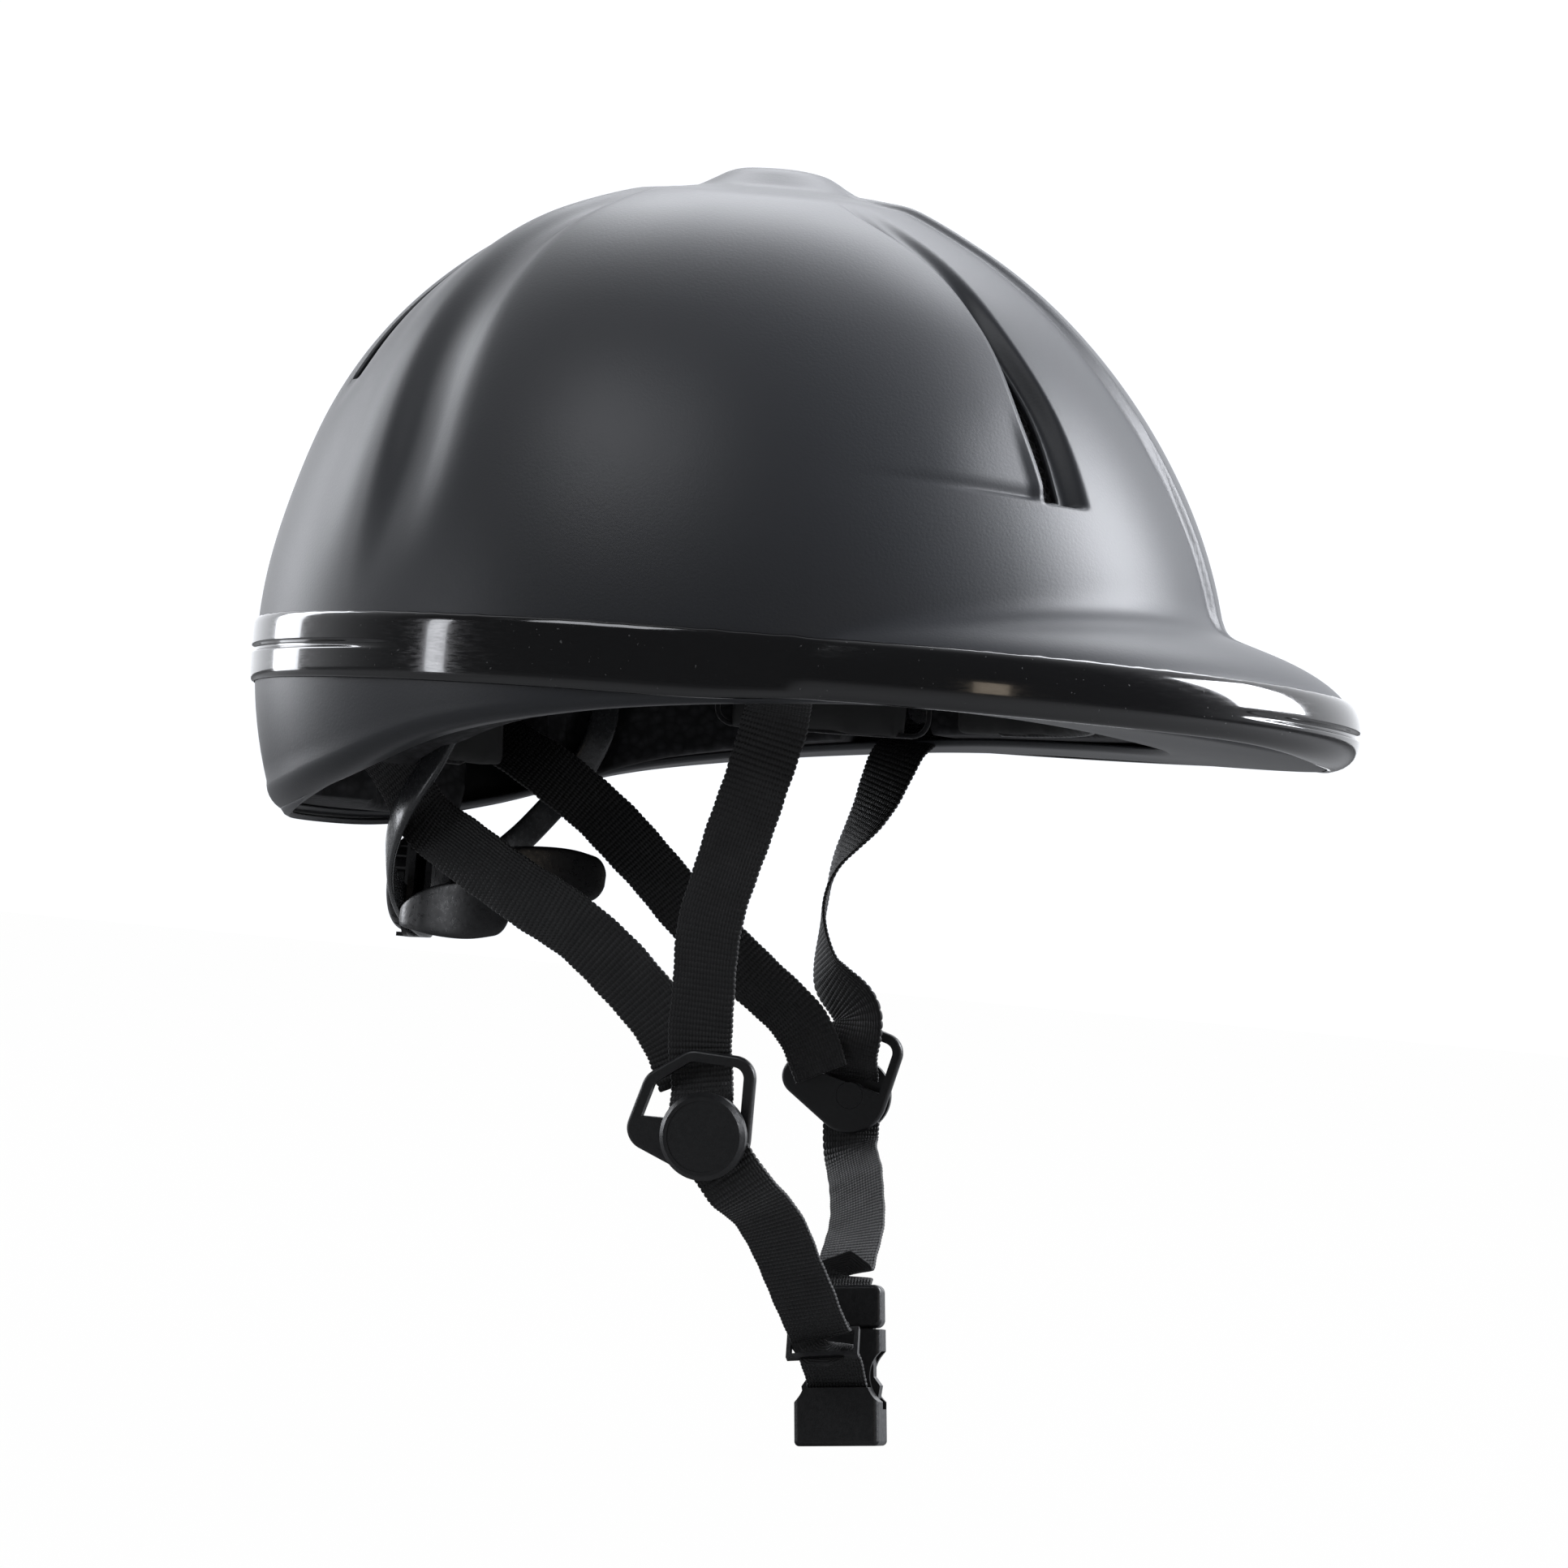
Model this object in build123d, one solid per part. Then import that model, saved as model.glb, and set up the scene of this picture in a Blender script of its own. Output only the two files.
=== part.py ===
from build123d import *
import math
import os

# Riding helmet with a four-strap harness and a dial-fit cradle.  All sizes in millimetres.
# Frame: origin at the centre of the head opening, on the seam between the two shells,
# +X towards the peak, +Y towards the wearer's left, +Z towards the crown.
# Places on the shell are given as parts of its half length and half width, so that whatever is
# fastened to the shell moves with it.  Sizes of pieces are named values of their own.

os.makedirs("parts", exist_ok=True)

# ---- shells ----
SHELL_HALF_LENGTH = 138.0
SHELL_HALF_WIDTH = 109.0
SHELL_HEIGHT = 145.0
SHELL_WALL = 3.0
SEAM_GAP = 0.2
PEAK_CENTRE_X = 42.0
PEAK_REACH = 38.0
PEAK_SIDE_INSET = 5.0
PEAK_CROWN = 37.0
PEAK_BELLY = 30.0
PEAK_DEPTH = 9.6
BOSS_RADIUS = 26.0
BOSS_RISE = 5.0
BOSS_BURIED = 8.0
RIDGE_HALF_WIDTH = 9.0
RIDGE_RISE = 1.6
REAR_DEPTH = 44.0
EAR_DEPTH = 15.0
RIM_LIP = 12.0
RIM_LIP_THICKNESS = 3.0

# ---- trim band over the seam ----
TRIM_HEIGHT = 18.0
TRIM_THICKNESS = 1.4
TRIM_GLUE_GAP = 0.1
TRIM_GROOVE_HEIGHT = 2.6
TRIM_GROOVE_DEPTH = 0.7

# ---- foam liner and pads ----
LINER_CLEARANCE = 1.4
LINER_FRONT_THICKNESS = 25.6
LINER_SIDE_THICKNESS = 21.1
LINER_TOP_THICKNESS = 23.6
PAD_THICKNESS = 6.0
PAD_GAP = 1.4
PATCH_THICKNESS = 1.0
PATCH_RADIUS = 9.0
CROWN_PAD_LENGTH = 150.0
CROWN_PAD_SPAN = 110.0
CROWN_PAD_ARM = 30.0
CROWN_PAD_FLOOR = 70.0

# ---- vents: direction round the shell, elevation, length, width ----
FRONT_VENT = {"turn": 39.5, "lift": 31.0, "length": 44.0, "width": 8.0}
REAR_VENT = {"turn": 156.0, "lift": 42.0, "length": 46.0, "width": 7.0}
VENT_MESH_THICKNESS = 0.6
VENT_MESH_OVERLAP = 4.0

# ---- webbing harness ----
WEBBING_WIDTH = 16.0
WEBBING_THICKNESS = 1.6
REAR_EXIT_HEIGHT = -44.0
POCKET_MARGIN = 3.0
TURN_FROM = 20.0
TURN_OVER = 40.0
FRONT_ANCHOR_TURN = 74.0
REAR_ANCHOR_TURN = 143.0
ANCHOR_HEIGHT = 5.0
ANCHOR_STANDOFF = 2.3
RIVET_SHANK_RADIUS = 2.0
RIVET_HEAD_RADIUS = 4.5
RIVET_HEAD_THICKNESS = 1.2
RIVET_CLEARANCE = 0.05

# ---- strap dividers ----
DIVIDER_THICKNESS = 3.0
DIVIDER_CORNER_RADIUS = 6.0
DIVIDER_CAP_RADIUS = 11.5
DIVIDER_CAP_THICKNESS = 3.6
DIVIDER_CAP_GAP = 2.6
DIVIDER_STUB_RADIUS = 4.0
DIVIDER_RING_WIDTH = 3.0
RUNNING_CLEARANCE = 0.08

# ---- side-release buckle ----
BUCKLE_WIDTH = 24.0
BUCKLE_THICKNESS = 9.0
BUCKLE_SOCKET_LENGTH = 32.0
BUCKLE_WALL = 1.8
BUCKLE_BOX_HEIGHT = 16.0
BUCKLE_BOX_DEPTH = 6.0
BUCKLE_COLLAR = 6.0
BUCKLE_FLOOR = 10.0
WINDOW_RADIUS = 9.0
WINDOW_BITE = 3.4
WINDOW_MIDDLE = 19.0
BUCKLE_LOOP_HEIGHT = 12.0
BUCKLE_PLAY = 0.4
PRONG_THICKNESS = 2.2
PRONG_BARB = 1.4
PRONG_HINGE_RADIUS = 1.5
BUCKLE_PLACE = (51.0, -1.0, -208.0)
BUCKLE_LEAN = (-7.0, -7.0, 0.0)

# ---- dial-fit cradle ----
NAPE_INSET = 51.0
DIAL_HEIGHT = -62.0
DIAL_RADIUS = 14.0
DIAL_THICKNESS = 6.0
DIAL_GRIPS = 24
DIAL_EDGE_RADIUS = 3.5
GRIP_RADIUS = 0.9
KNOB_RIM = 2.5
KNOB_HOLLOW = 2.4
KNOB_BORE_DEPTH = 4.0
SHAFT_RADIUS = 2.5
SHAFT_FIT = 0.02
SHAFT_END = 1.5
HUB_WALL = 2.0
SCREW_RADIUS = 1.0
SCREW_HOLE_CLEARANCE = 0.05
SCREW_LENGTH = 8.0
SCREW_HEAD_RADIUS = 4.3
SCREW_HEAD_THICKNESS = 1.4
SPRING_THICKNESS = 0.6
GUARD_THICKNESS = 1.4
GUARD_OVERHANG = 1.6
GUARD_CORNER = 5.0
LEDGE_DEPTH = 4.4
LEDGE_THICKNESS = 1.2
YOKE_THICKNESS = 2.0
YOKE_ARM_WIDTH = 9.0
YOKE_PLATE_STEP = 0.3
YOKE_PLATE_WIDTH = 26.0
YOKE_PLATE_HEIGHT = 28.0
YOKE_STRAIGHT = 10.0
CRADLE_CORNER = 4.0
CASE_DEPTH = 7.0
CASE_WALL = 1.5
CASE_HALF_WIDTH = 23.0
LAYER_GAP = 0.3
GEAR_MODULE = 1.0
PINION_TEETH = 14
TOOTH_SLACK = 0.4
RACK_BACK = 3.0
RACK_THICKNESS = 2.0
RACK_PAST_CENTRE = 10.0
TIGHTEN_TRAVEL = 9.0
WING_THICKNESS = 1.8
WING_WIDTHS = (15.0, 19.0, 21.0, 14.0)

BIG = 400.0
SIDES = {"right": -1.0, "left": 1.0}


def save(solid, name):
    export_step(solid, "parts/" + name + ".step")


def slab(low, high):
    """Everything between two heights."""
    return Pos(0, 0, (low + high) / 2) * Box(BIG, BIG, high - low)


def ellipsoid(half_x, half_y, half_z):
    return scale(Sphere(1), by=(half_x, half_y, half_z))


def dome(offset):
    return ellipsoid(SHELL_HALF_LENGTH + offset, SHELL_HALF_WIDTH + offset, SHELL_HEIGHT + offset)


def peak(offset):
    """Flattened ellipsoid in front of the dome: crowned above the seam, nearly flat below it."""
    reach = SHELL_HALF_LENGTH + PEAK_REACH - PEAK_CENTRE_X + offset
    spread = SHELL_HALF_WIDTH - PEAK_SIDE_INSET + offset
    crown = Pos(PEAK_CENTRE_X, 0, 0) * ellipsoid(reach, spread, PEAK_CROWN + offset)
    belly = Pos(PEAK_CENTRE_X, 0, 0) * ellipsoid(reach, spread, PEAK_BELLY + offset)
    return (crown & slab(0, BIG)) + (belly & slab(-PEAK_DEPTH - offset, 0))


def body(offset):
    return dome(offset) + peak(offset)


def on_dome(turn, lift, offset=0.0):
    """Point on the shell, turn degrees round from the front and lift degrees up the shell."""
    round_angle = math.radians(turn)
    up_angle = math.radians(lift)
    return Vector(
        (SHELL_HALF_LENGTH + offset) * math.cos(up_angle) * math.cos(round_angle),
        (SHELL_HALF_WIDTH + offset) * math.cos(up_angle) * math.sin(round_angle),
        (SHELL_HEIGHT + offset) * math.sin(up_angle),
    )


def dome_normal(point):
    return Vector(
        point.X / SHELL_HALF_LENGTH**2, point.Y / SHELL_HALF_WIDTH**2, point.Z / SHELL_HEIGHT**2
    ).normalized()


def above_rim(raise_by):
    """Everything above the lower edge, which is deep at the nape and shallow at the peak."""
    back = -SHELL_HALF_LENGTH
    nape = -REAR_DEPTH
    front = -PEAK_DEPTH
    edge = [
        (1.20 * back, nape),
        (0.93 * back, nape),
        (0.72 * back, nape + 0.22 * (REAR_DEPTH - PEAK_DEPTH)),
        (0.43 * back, nape + 0.62 * (REAR_DEPTH - PEAK_DEPTH)),
        (0.14 * back, -EAR_DEPTH),
        (-0.15 * back, front - 1.6),
        (-0.43 * back, front - 0.6),
        (-0.80 * back, front),
        (-1.40 * back, front),
    ]
    points = [(x, z + raise_by) for x, z in edge]
    curve = Spline(*points)
    top = [points[-1], (points[-1][0], BIG / 2), (points[0][0], BIG / 2), points[0]]
    profile = make_face(Curve() + [curve, Polyline(*top)])
    return extrude(Plane.XZ * profile, BIG / 2, both=True)


def radial_block(vent, side, width, length, depth_in, depth_out):
    """Upright block across the shell wall at a vent, depths measured from the outer face."""
    point = on_dome(side * vent["turn"], vent["lift"])
    outward = dome_normal(point)
    sideways = Vector(0, 0, 1).cross(outward).normalized()
    where = Plane(origin=point, x_dir=sideways, z_dir=outward)
    return where * (Pos(0, 0, (depth_out - depth_in) / 2) * Box(width, length, depth_in + depth_out))


def spot(fraction_x, fraction_y, height, side):
    return Vector(fraction_x * SHELL_HALF_LENGTH, side * fraction_y * SHELL_HALF_WIDTH, height)


def ribbon(route, across, widths, thickness):
    """Flat strip along a route: a rectangle at every station, joined by ruled faces."""
    last = len(route) - 1
    sections = []
    for index, point in enumerate(route):
        along = (route[min(index + 1, last)] - route[max(index - 1, 0)]).normalized()
        sideways = across[index] - along * across[index].dot(along)
        half_width = sideways.normalized() * (widths[index] / 2)
        half_thick = along.cross(sideways).normalized() * (thickness / 2)
        corners = [
            point + half_width + half_thick,
            point - half_width + half_thick,
            point - half_width - half_thick,
            point + half_width - half_thick,
        ]
        sections.append(Wire.make_polygon(corners))
    return Solid.make_loft(sections, ruled=True)


def wall_point(turn, height, inside):
    """Point that lies a distance inside the shell's outer face, at a given height."""
    share = math.sqrt(1 - (height / SHELL_HEIGHT) ** 2)
    angle = math.radians(turn)
    point = Vector(
        SHELL_HALF_LENGTH * share * math.cos(angle), SHELL_HALF_WIDTH * share * math.sin(angle), height
    )
    return point - level_normal(point) * inside


def level_normal(point):
    """Outward direction of the shell's outline, without its slope."""
    return Vector(point.X / SHELL_HALF_LENGTH**2, point.Y / SHELL_HALF_WIDTH**2, 0).normalized()


# ---- places in the buckle's own frame: X across, Y through, Z up, from the foot of the socket ----
BUCKLE = Location(BUCKLE_PLACE, BUCKLE_LEAN)
SOCKET_HALF = BUCKLE_WIDTH / 2 - BUCKLE_WALL - BUCKLE_PLAY
TONGUE_THICKNESS = BUCKLE_THICKNESS - 2 * BUCKLE_WALL - 2 * BUCKLE_PLAY
SLOT_WIDTH = WEBBING_WIDTH + 1.5
SLOT_THICKNESS = WEBBING_THICKNESS + 1.2
BOX_SLOT_Y = -BUCKLE_THICKNESS / 2 - BUCKLE_BOX_DEPTH / 2 + 0.4
BOX_SLOT_FLOOR = 2.5
LOOP_LOW = BUCKLE_SOCKET_LENGTH + BUCKLE_PLAY
LOOP_TOP = LOOP_LOW + BUCKLE_LOOP_HEIGHT
PRONG_OUT = SOCKET_HALF - BUCKLE_PLAY
HINGE_X = PRONG_OUT - PRONG_HINGE_RADIUS
HINGE_Z = BUCKLE_SOCKET_LENGTH - 1.5

# ---- harness routes ----
STRAP_INSIDE = SHELL_WALL + ANCHOR_STANDOFF
ANCHOR_TURNS = [FRONT_ANCHOR_TURN, REAR_ANCHOR_TURN]


def divider_frame(side):
    """Divider's own frame: Y up the strap, Z outwards from the face."""
    if side < 0:
        origin = spot(0.162, 0.672, -121.0, side)
        lean = 0.0
    else:
        origin = spot(0.213, 0.672, -114.5, side)
        lean = -side * 14.0
    tilt = math.radians(lean)
    forward = Vector(math.cos(tilt), 0, math.sin(tilt))
    return Plane(origin=origin, x_dir=forward * -side, z_dir=(0, side, 0))


def in_divider(side, ahead, up, out):
    """Point given in the divider's frame: ahead of the cap, above it, and out from the plate."""
    return divider_frame(side).from_local_coords(Vector(-side * ahead, up, out))


def in_buckle(x, y, z):
    return (BUCKLE * Pos(x, y, z)).position


# Heights of the webbing layers over the divider plate's middle.
BEHIND_PLATE = -(DIVIDER_THICKNESS + WEBBING_THICKNESS) / 2 - LAYER_GAP
SECOND_LAYER = BEHIND_PLATE - WEBBING_THICKNESS - 2 * LAYER_GAP
OVER_PLATE = (DIVIDER_THICKNESS + WEBBING_THICKNESS) / 2 + LAYER_GAP


def anchor_stations(side, turn):
    """The strap's upper end, flat against the shell wall behind its rivet."""
    side_turn = side * turn
    heights = (2 * ANCHOR_HEIGHT, 0.0)
    return [wall_point(side_turn, height, STRAP_INSIDE) for height in heights]


def front_route(side):
    """Front strap: from its rivet down inside the rim, to the divider and out through its window."""
    if side < 0:
        rest = [(0.245, 0.785, -10.0), (0.212, 0.760, -28.0), (0.170, 0.735, -48.0), (0.137, 0.712, -66.0)]
        rest.append((0.128, 0.672, -84.0))
    else:
        rest = [(0.235, 0.785, -10.0), (0.190, 0.765, -28.0), (0.122, 0.735, -48.0), (0.112, 0.712, -64.0)]
        rest.append((0.135, 0.680, -78.0))
    route = anchor_stations(side, FRONT_ANCHOR_TURN) + [spot(x, y, z, side) for x, y, z in rest]
    route.append(in_divider(side, -5.0, 23.0, BEHIND_PLATE))
    route.append(in_divider(side, -3.4, 12.5, BEHIND_PLATE))
    route.append(in_divider(side, -2.0, 5.2, OVER_PLATE))
    return route


def rear_route(side):
    """Rear strap: from its rivet out past the nape, between yoke and wing, then forward and down."""
    if side < 0:
        rest = [
            (-0.665, 0.520, -20.0), (-0.575, 0.462, -33.0), (-0.510, 0.474, REAR_EXIT_HEIGHT),
            (-0.415, 0.520, -51.5), (-0.275, 0.582, -61.5), (-0.130, 0.625, -71.5), (-0.025, 0.630, -83.0),
        ]
        held = [(-12.5, 23.5), (-7.5, 13.0)]
    else:
        rest = [
            (-0.640, 0.520, -14.0), (-0.500, 0.478, -24.0), (-0.385, 0.512, -35.0),
            (-0.265, 0.548, -50.0), (-0.150, 0.585, -66.0), (-0.030, 0.610, -80.0),
        ]
        held = [(-18.0, 13.5), (-9.5, 3.5)]
    route = anchor_stations(side, REAR_ANCHOR_TURN) + [spot(x, y, z, side) for x, y, z in rest]
    return route + [in_divider(side, ahead, up, SECOND_LAYER) for ahead, up in held]


def chin_route(side):
    """Chin strap: from under the divider's cap down and in to the buckle."""
    if side < 0:
        return [
            in_divider(side, 3.0, -4.2, OVER_PLATE), in_divider(side, 7.2, -11.0, OVER_PLATE),
            spot(0.268, 0.560, -141.0, side), Vector(43.5, -46, -156), Vector(46.5, -31, -172),
            in_buckle(0, BOX_SLOT_Y - 7.0, BUCKLE_BOX_HEIGHT + 6), in_buckle(0, BOX_SLOT_Y, BUCKLE_BOX_HEIGHT),
            in_buckle(0, BOX_SLOT_Y, BOX_SLOT_FLOOR + 0.5),
        ]
    return [
        in_divider(side, 1.6, -4.9, OVER_PLATE), in_divider(side, 3.9, -12.5, OVER_PLATE),
        spot(0.270, 0.500, -139.0, side), Vector(42.5, 34, -149), in_buckle(0, 6.0, LOOP_TOP + 5.0),
        in_buckle(0, 0, LOOP_TOP), in_buckle(0, 0, LOOP_LOW + 3.5),
    ]


def strap_across(route, side):
    """The strap's wide side: flat to the shell at the top, and flat to the divider further down."""
    flat = []
    last = len(route) - 1
    for index, point in enumerate(route):
        turned = min(max((-point.Z - TURN_FROM) / TURN_OVER, 0.0), 1.0)
        outward = level_normal(point) * (1 - turned) + Vector(0, side, 0) * turned
        along = (route[min(index + 1, last)] - route[max(index - 1, 0)]).normalized()
        flat.append(along.cross(outward).normalized())
    return flat


def webbing(route, side):
    widths = [WEBBING_WIDTH] * len(route)
    return ribbon(route, strap_across(route, side), widths, WEBBING_THICKNESS)


def chin_webbing(side):
    """Chin strap whose last stations lie square in the buckle."""
    route = chin_route(side)
    level = (in_buckle(1, 0, 0) - in_buckle(0, 0, 0)).normalized() * -side
    held = 3 if side < 0 else 2
    across = strap_across(route, side)[:-held] + [level] * held
    return ribbon(route, across, [WEBBING_WIDTH] * len(route), WEBBING_THICKNESS)


def pocket(route, side, stations):
    """Room in the foam for a strap's upper end."""
    part = route[:stations]
    up = part[0] + (part[0] - part[1]).normalized() * POCKET_MARGIN
    part = [up] + part[1:]
    widths = [WEBBING_WIDTH + 2 * POCKET_MARGIN] * len(part)
    return ribbon(part, strap_across(part, side), widths, WEBBING_THICKNESS + 3 * POCKET_MARGIN)


def rivet_place(side, turn):
    point = wall_point(side * turn, ANCHOR_HEIGHT, 0.0)
    return Plane(origin=point, z_dir=level_normal(point))


def rivet_hole(side, turn):
    hole = Cylinder(RIVET_SHANK_RADIUS + RIVET_CLEARANCE, 4 * STRAP_INSIDE)
    return rivet_place(side, turn) * hole


def with_rivet_holes(solid):
    for side in SIDES.values():
        for turn in ANCHOR_TURNS:
            solid = solid - rivet_hole(side, turn)
    return solid


# ---- shells, trim, liner ----
def vent_cutters(margin, depth_in, depth_out):
    cutters = []
    for vent in (FRONT_VENT, REAR_VENT):
        for side in SIDES.values():
            block = radial_block(
                vent, side, vent["width"] + margin, vent["length"] + margin, depth_in, depth_out
            )
            cutters.append(block)
    return cutters


def upper_shell():
    boss = Pos(0, 0, SHELL_HEIGHT - BOSS_BURIED) * ellipsoid(
        BOSS_RADIUS, BOSS_RADIUS, BOSS_BURIED + BOSS_RISE
    )
    ridge = dome(RIDGE_RISE) & Pos(BIG / 2, 0, 0) * Box(BIG, 2 * RIDGE_HALF_WIDTH, BIG)
    shell = body(0) + boss + ridge - body(-SHELL_WALL)
    shell = shell & slab(SEAM_GAP / 2, BIG)
    for cutter in vent_cutters(0, 4 * SHELL_WALL, 2 * SHELL_WALL):
        shell = shell - cutter
    return with_rivet_holes(shell)


def lower_shell():
    wall = body(0) - body(-SHELL_WALL)
    opening = extrude(Ellipse(SHELL_HALF_LENGTH - RIM_LIP, SHELL_HALF_WIDTH - RIM_LIP), BIG / 2, both=True)
    lip = body(0) - opening - above_rim(RIM_LIP_THICKNESS)
    return (wall + lip) & above_rim(0) & slab(-BIG / 2, -SEAM_GAP / 2)


def trim_band():
    outside = TRIM_GLUE_GAP + TRIM_THICKNESS
    band = body(outside) - body(TRIM_GLUE_GAP)
    band = band & slab(-TRIM_HEIGHT / 2, TRIM_HEIGHT / 2)
    groove = slab(-TRIM_GROOVE_HEIGHT / 2, TRIM_GROOVE_HEIGHT / 2) - body(outside - TRIM_GROOVE_DEPTH)
    tip = SHELL_HALF_LENGTH + PEAK_REACH
    rear = Pos(-SHELL_HALF_LENGTH, 0, 0) * Box(1.5 * SHELL_HALF_LENGTH, BIG, TRIM_HEIGHT)
    front = Pos(tip, 0, 0) * Box(PEAK_REACH, BIG, TRIM_HEIGHT)
    return band - (groove & rear) - (groove & front)


LINER_OUT = -(SHELL_WALL + LINER_CLEARANCE)
CAVITY_HALF_LENGTH = SHELL_HALF_LENGTH + LINER_OUT - LINER_FRONT_THICKNESS
CAVITY_HALF_WIDTH = SHELL_HALF_WIDTH + LINER_OUT - LINER_SIDE_THICKNESS
CAVITY_HEIGHT = SHELL_HEIGHT + LINER_OUT - LINER_TOP_THICKNESS


def cavity(inset):
    return ellipsoid(CAVITY_HALF_LENGTH - inset, CAVITY_HALF_WIDTH - inset, CAVITY_HEIGHT - inset)


def foam_liner():
    liner = (dome(LINER_OUT) - cavity(0)) & above_rim(RIM_LIP_THICKNESS + LAYER_GAP)
    for cutter in vent_cutters(2, LINER_FRONT_THICKNESS + 6 * SHELL_WALL, 0):
        liner = liner - cutter
    for side in SIDES.values():
        liner = liner - pocket(front_route(side), side, 4)
        liner = liner - pocket(rear_route(side), side, 5)
        liner = liner - yoke_socket(side)
    return liner


def vent_mesh(vent, side):
    outer = dome(-SHELL_WALL - LAYER_GAP)
    inner = dome(-SHELL_WALL - LAYER_GAP - VENT_MESH_THICKNESS)
    margin = 2 * VENT_MESH_OVERLAP
    window = radial_block(vent, side, vent["width"] + margin, vent["length"] + margin, 6 * SHELL_WALL, 0)
    return (outer - inner) & window


def sector(turn_from, turn_to, low, high):
    """Wedge of space seen from the origin, between two directions and two heights."""
    steps = 6
    rim = []
    for step in range(steps + 1):
        angle = math.radians(turn_from + (turn_to - turn_from) * step / steps)
        rim.append((BIG * math.cos(angle), BIG * math.sin(angle)))
    face = make_face(Polyline((0, 0), *rim, (0, 0)))
    return Pos(0, 0, low) * extrude(face, high - low)


def pad(turn_from, turn_to, low, high):
    layer = cavity(PAD_GAP) - cavity(PAD_GAP + PAD_THICKNESS)
    return layer & sector(turn_from, turn_to, low, high)


def crown_pad():
    """Cross-shaped pad under the crown."""
    layer = cavity(PAD_GAP) - cavity(PAD_GAP + PAD_THICKNESS)
    cross = Box(CROWN_PAD_LENGTH, CROWN_PAD_ARM, BIG) + Box(CROWN_PAD_ARM, CROWN_PAD_SPAN, BIG)
    return layer & cross & slab(CROWN_PAD_FLOOR, BIG)


PADS = {
    "brow_pad": (-52, 52, -4, 22),
    "side_pad_left": (64, 104, -6, 30),
    "side_pad_right": (-104, -64, -6, 30),
    "rear_pad": (150, 210, -26, 16),
}


def hook_patches():
    """Round hook-and-loop patches between the foam and each pad."""
    layer = cavity(LAYER_GAP / 2) - cavity(LAYER_GAP / 2 + PATCH_THICKNESS)
    patches = []
    places = [(-34, 9), (0, 9), (34, 9), (84, 12), (-84, 12), (164, -5), (196, -5)]
    for turn, height in places:
        stub = Cylinder(PATCH_RADIUS, BIG, align=(Align.CENTER, Align.CENTER, Align.MIN))
        angle = math.radians(turn)
        direction = Vector(math.cos(angle), math.sin(angle), 0)
        patches.append(layer & Plane(origin=(0, 0, height), z_dir=direction) * stub)
    crown = layer & slab(0, BIG) & Cylinder(PATCH_RADIUS, BIG)
    patches.append(crown)
    return Compound([piece for patch in patches for piece in patch.solids()])


# ---- harness ----
def rivets():
    pieces = []
    for side in SIDES.values():
        for turn in ANCHOR_TURNS:
            inner = STRAP_INSIDE + WEBBING_THICKNESS / 2 + LAYER_GAP
            shank = Pos(0, 0, -(inner + LAYER_GAP) / 2) * Cylinder(RIVET_SHANK_RADIUS, inner - LAYER_GAP)
            head_at = -inner - RIVET_HEAD_THICKNESS / 2
            head = Pos(0, 0, head_at) * Cylinder(RIVET_HEAD_RADIUS, RIVET_HEAD_THICKNESS)
            pieces.append(rivet_place(side, turn) * (shank + head))
    return Compound([piece for rivet in pieces for piece in rivet.solids()])


def strap(route, side):
    return with_rivet_holes(webbing(route, side))


def divider_outline(offset, side):
    """Rounded plate: the convex hull of the cap's seat and four corner discs."""
    corner = DIVIDER_CORNER_RADIUS
    discs = [
        (0.0, 0.0, DIVIDER_CAP_RADIUS), (-16.0, 0.5, corner), (-13.0, 10.5, corner),
        (-5.0, 16.0, corner), (5.5, 15.5, corner),
    ]
    circles = []
    for x, y, radius in discs:
        circles += (Pos(-side * x, y) * Circle(radius + offset)).edges()
    return make_hull(circles)


def divider_plate(side):
    plate = extrude(divider_outline(0, side), DIVIDER_THICKNESS / 2, both=True)
    plate = fillet(plate.edges().group_by(Axis.Z)[-1] + plate.edges().group_by(Axis.Z)[0], 1.0)
    window = extrude(divider_outline(-DIVIDER_RING_WIDTH, side), DIVIDER_THICKNESS, both=True)
    keep_below = Pos(0, -BIG / 2 + 3.5, 0) * Box(BIG, BIG, BIG)
    bore = Cylinder(DIVIDER_STUB_RADIUS + RUNNING_CLEARANCE, 3 * DIVIDER_THICKNESS)
    plate = plate - (window - keep_below) - bore
    return divider_frame(side) * plate


def divider_cap(side):
    disc = Cylinder(DIVIDER_CAP_RADIUS, DIVIDER_CAP_THICKNESS)
    dish = Pos(0, 0, DIVIDER_CAP_THICKNESS / 2 - 0.3) * Cylinder(DIVIDER_CAP_RADIUS - 2.2, 1.0)
    disc = chamfer(disc.edges().group_by(Axis.Z)[-1], 1.2) - (dish & Pos(0, 0, 0.5) * dish)
    base = DIVIDER_THICKNESS / 2 + DIVIDER_CAP_GAP
    disc = Pos(0, 0, base + DIVIDER_CAP_THICKNESS / 2) * disc
    stub_length = base + DIVIDER_THICKNESS / 2
    stub = Pos(0, 0, base - stub_length / 2) * Cylinder(DIVIDER_STUB_RADIUS, stub_length)
    return divider_frame(side) * (disc + stub)


# ---- buckle ----
def upright(width, depth, low, high, x=0.0, y=0.0):
    return Pos(x, y, (low + high) / 2) * Box(width, depth, high - low)


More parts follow.
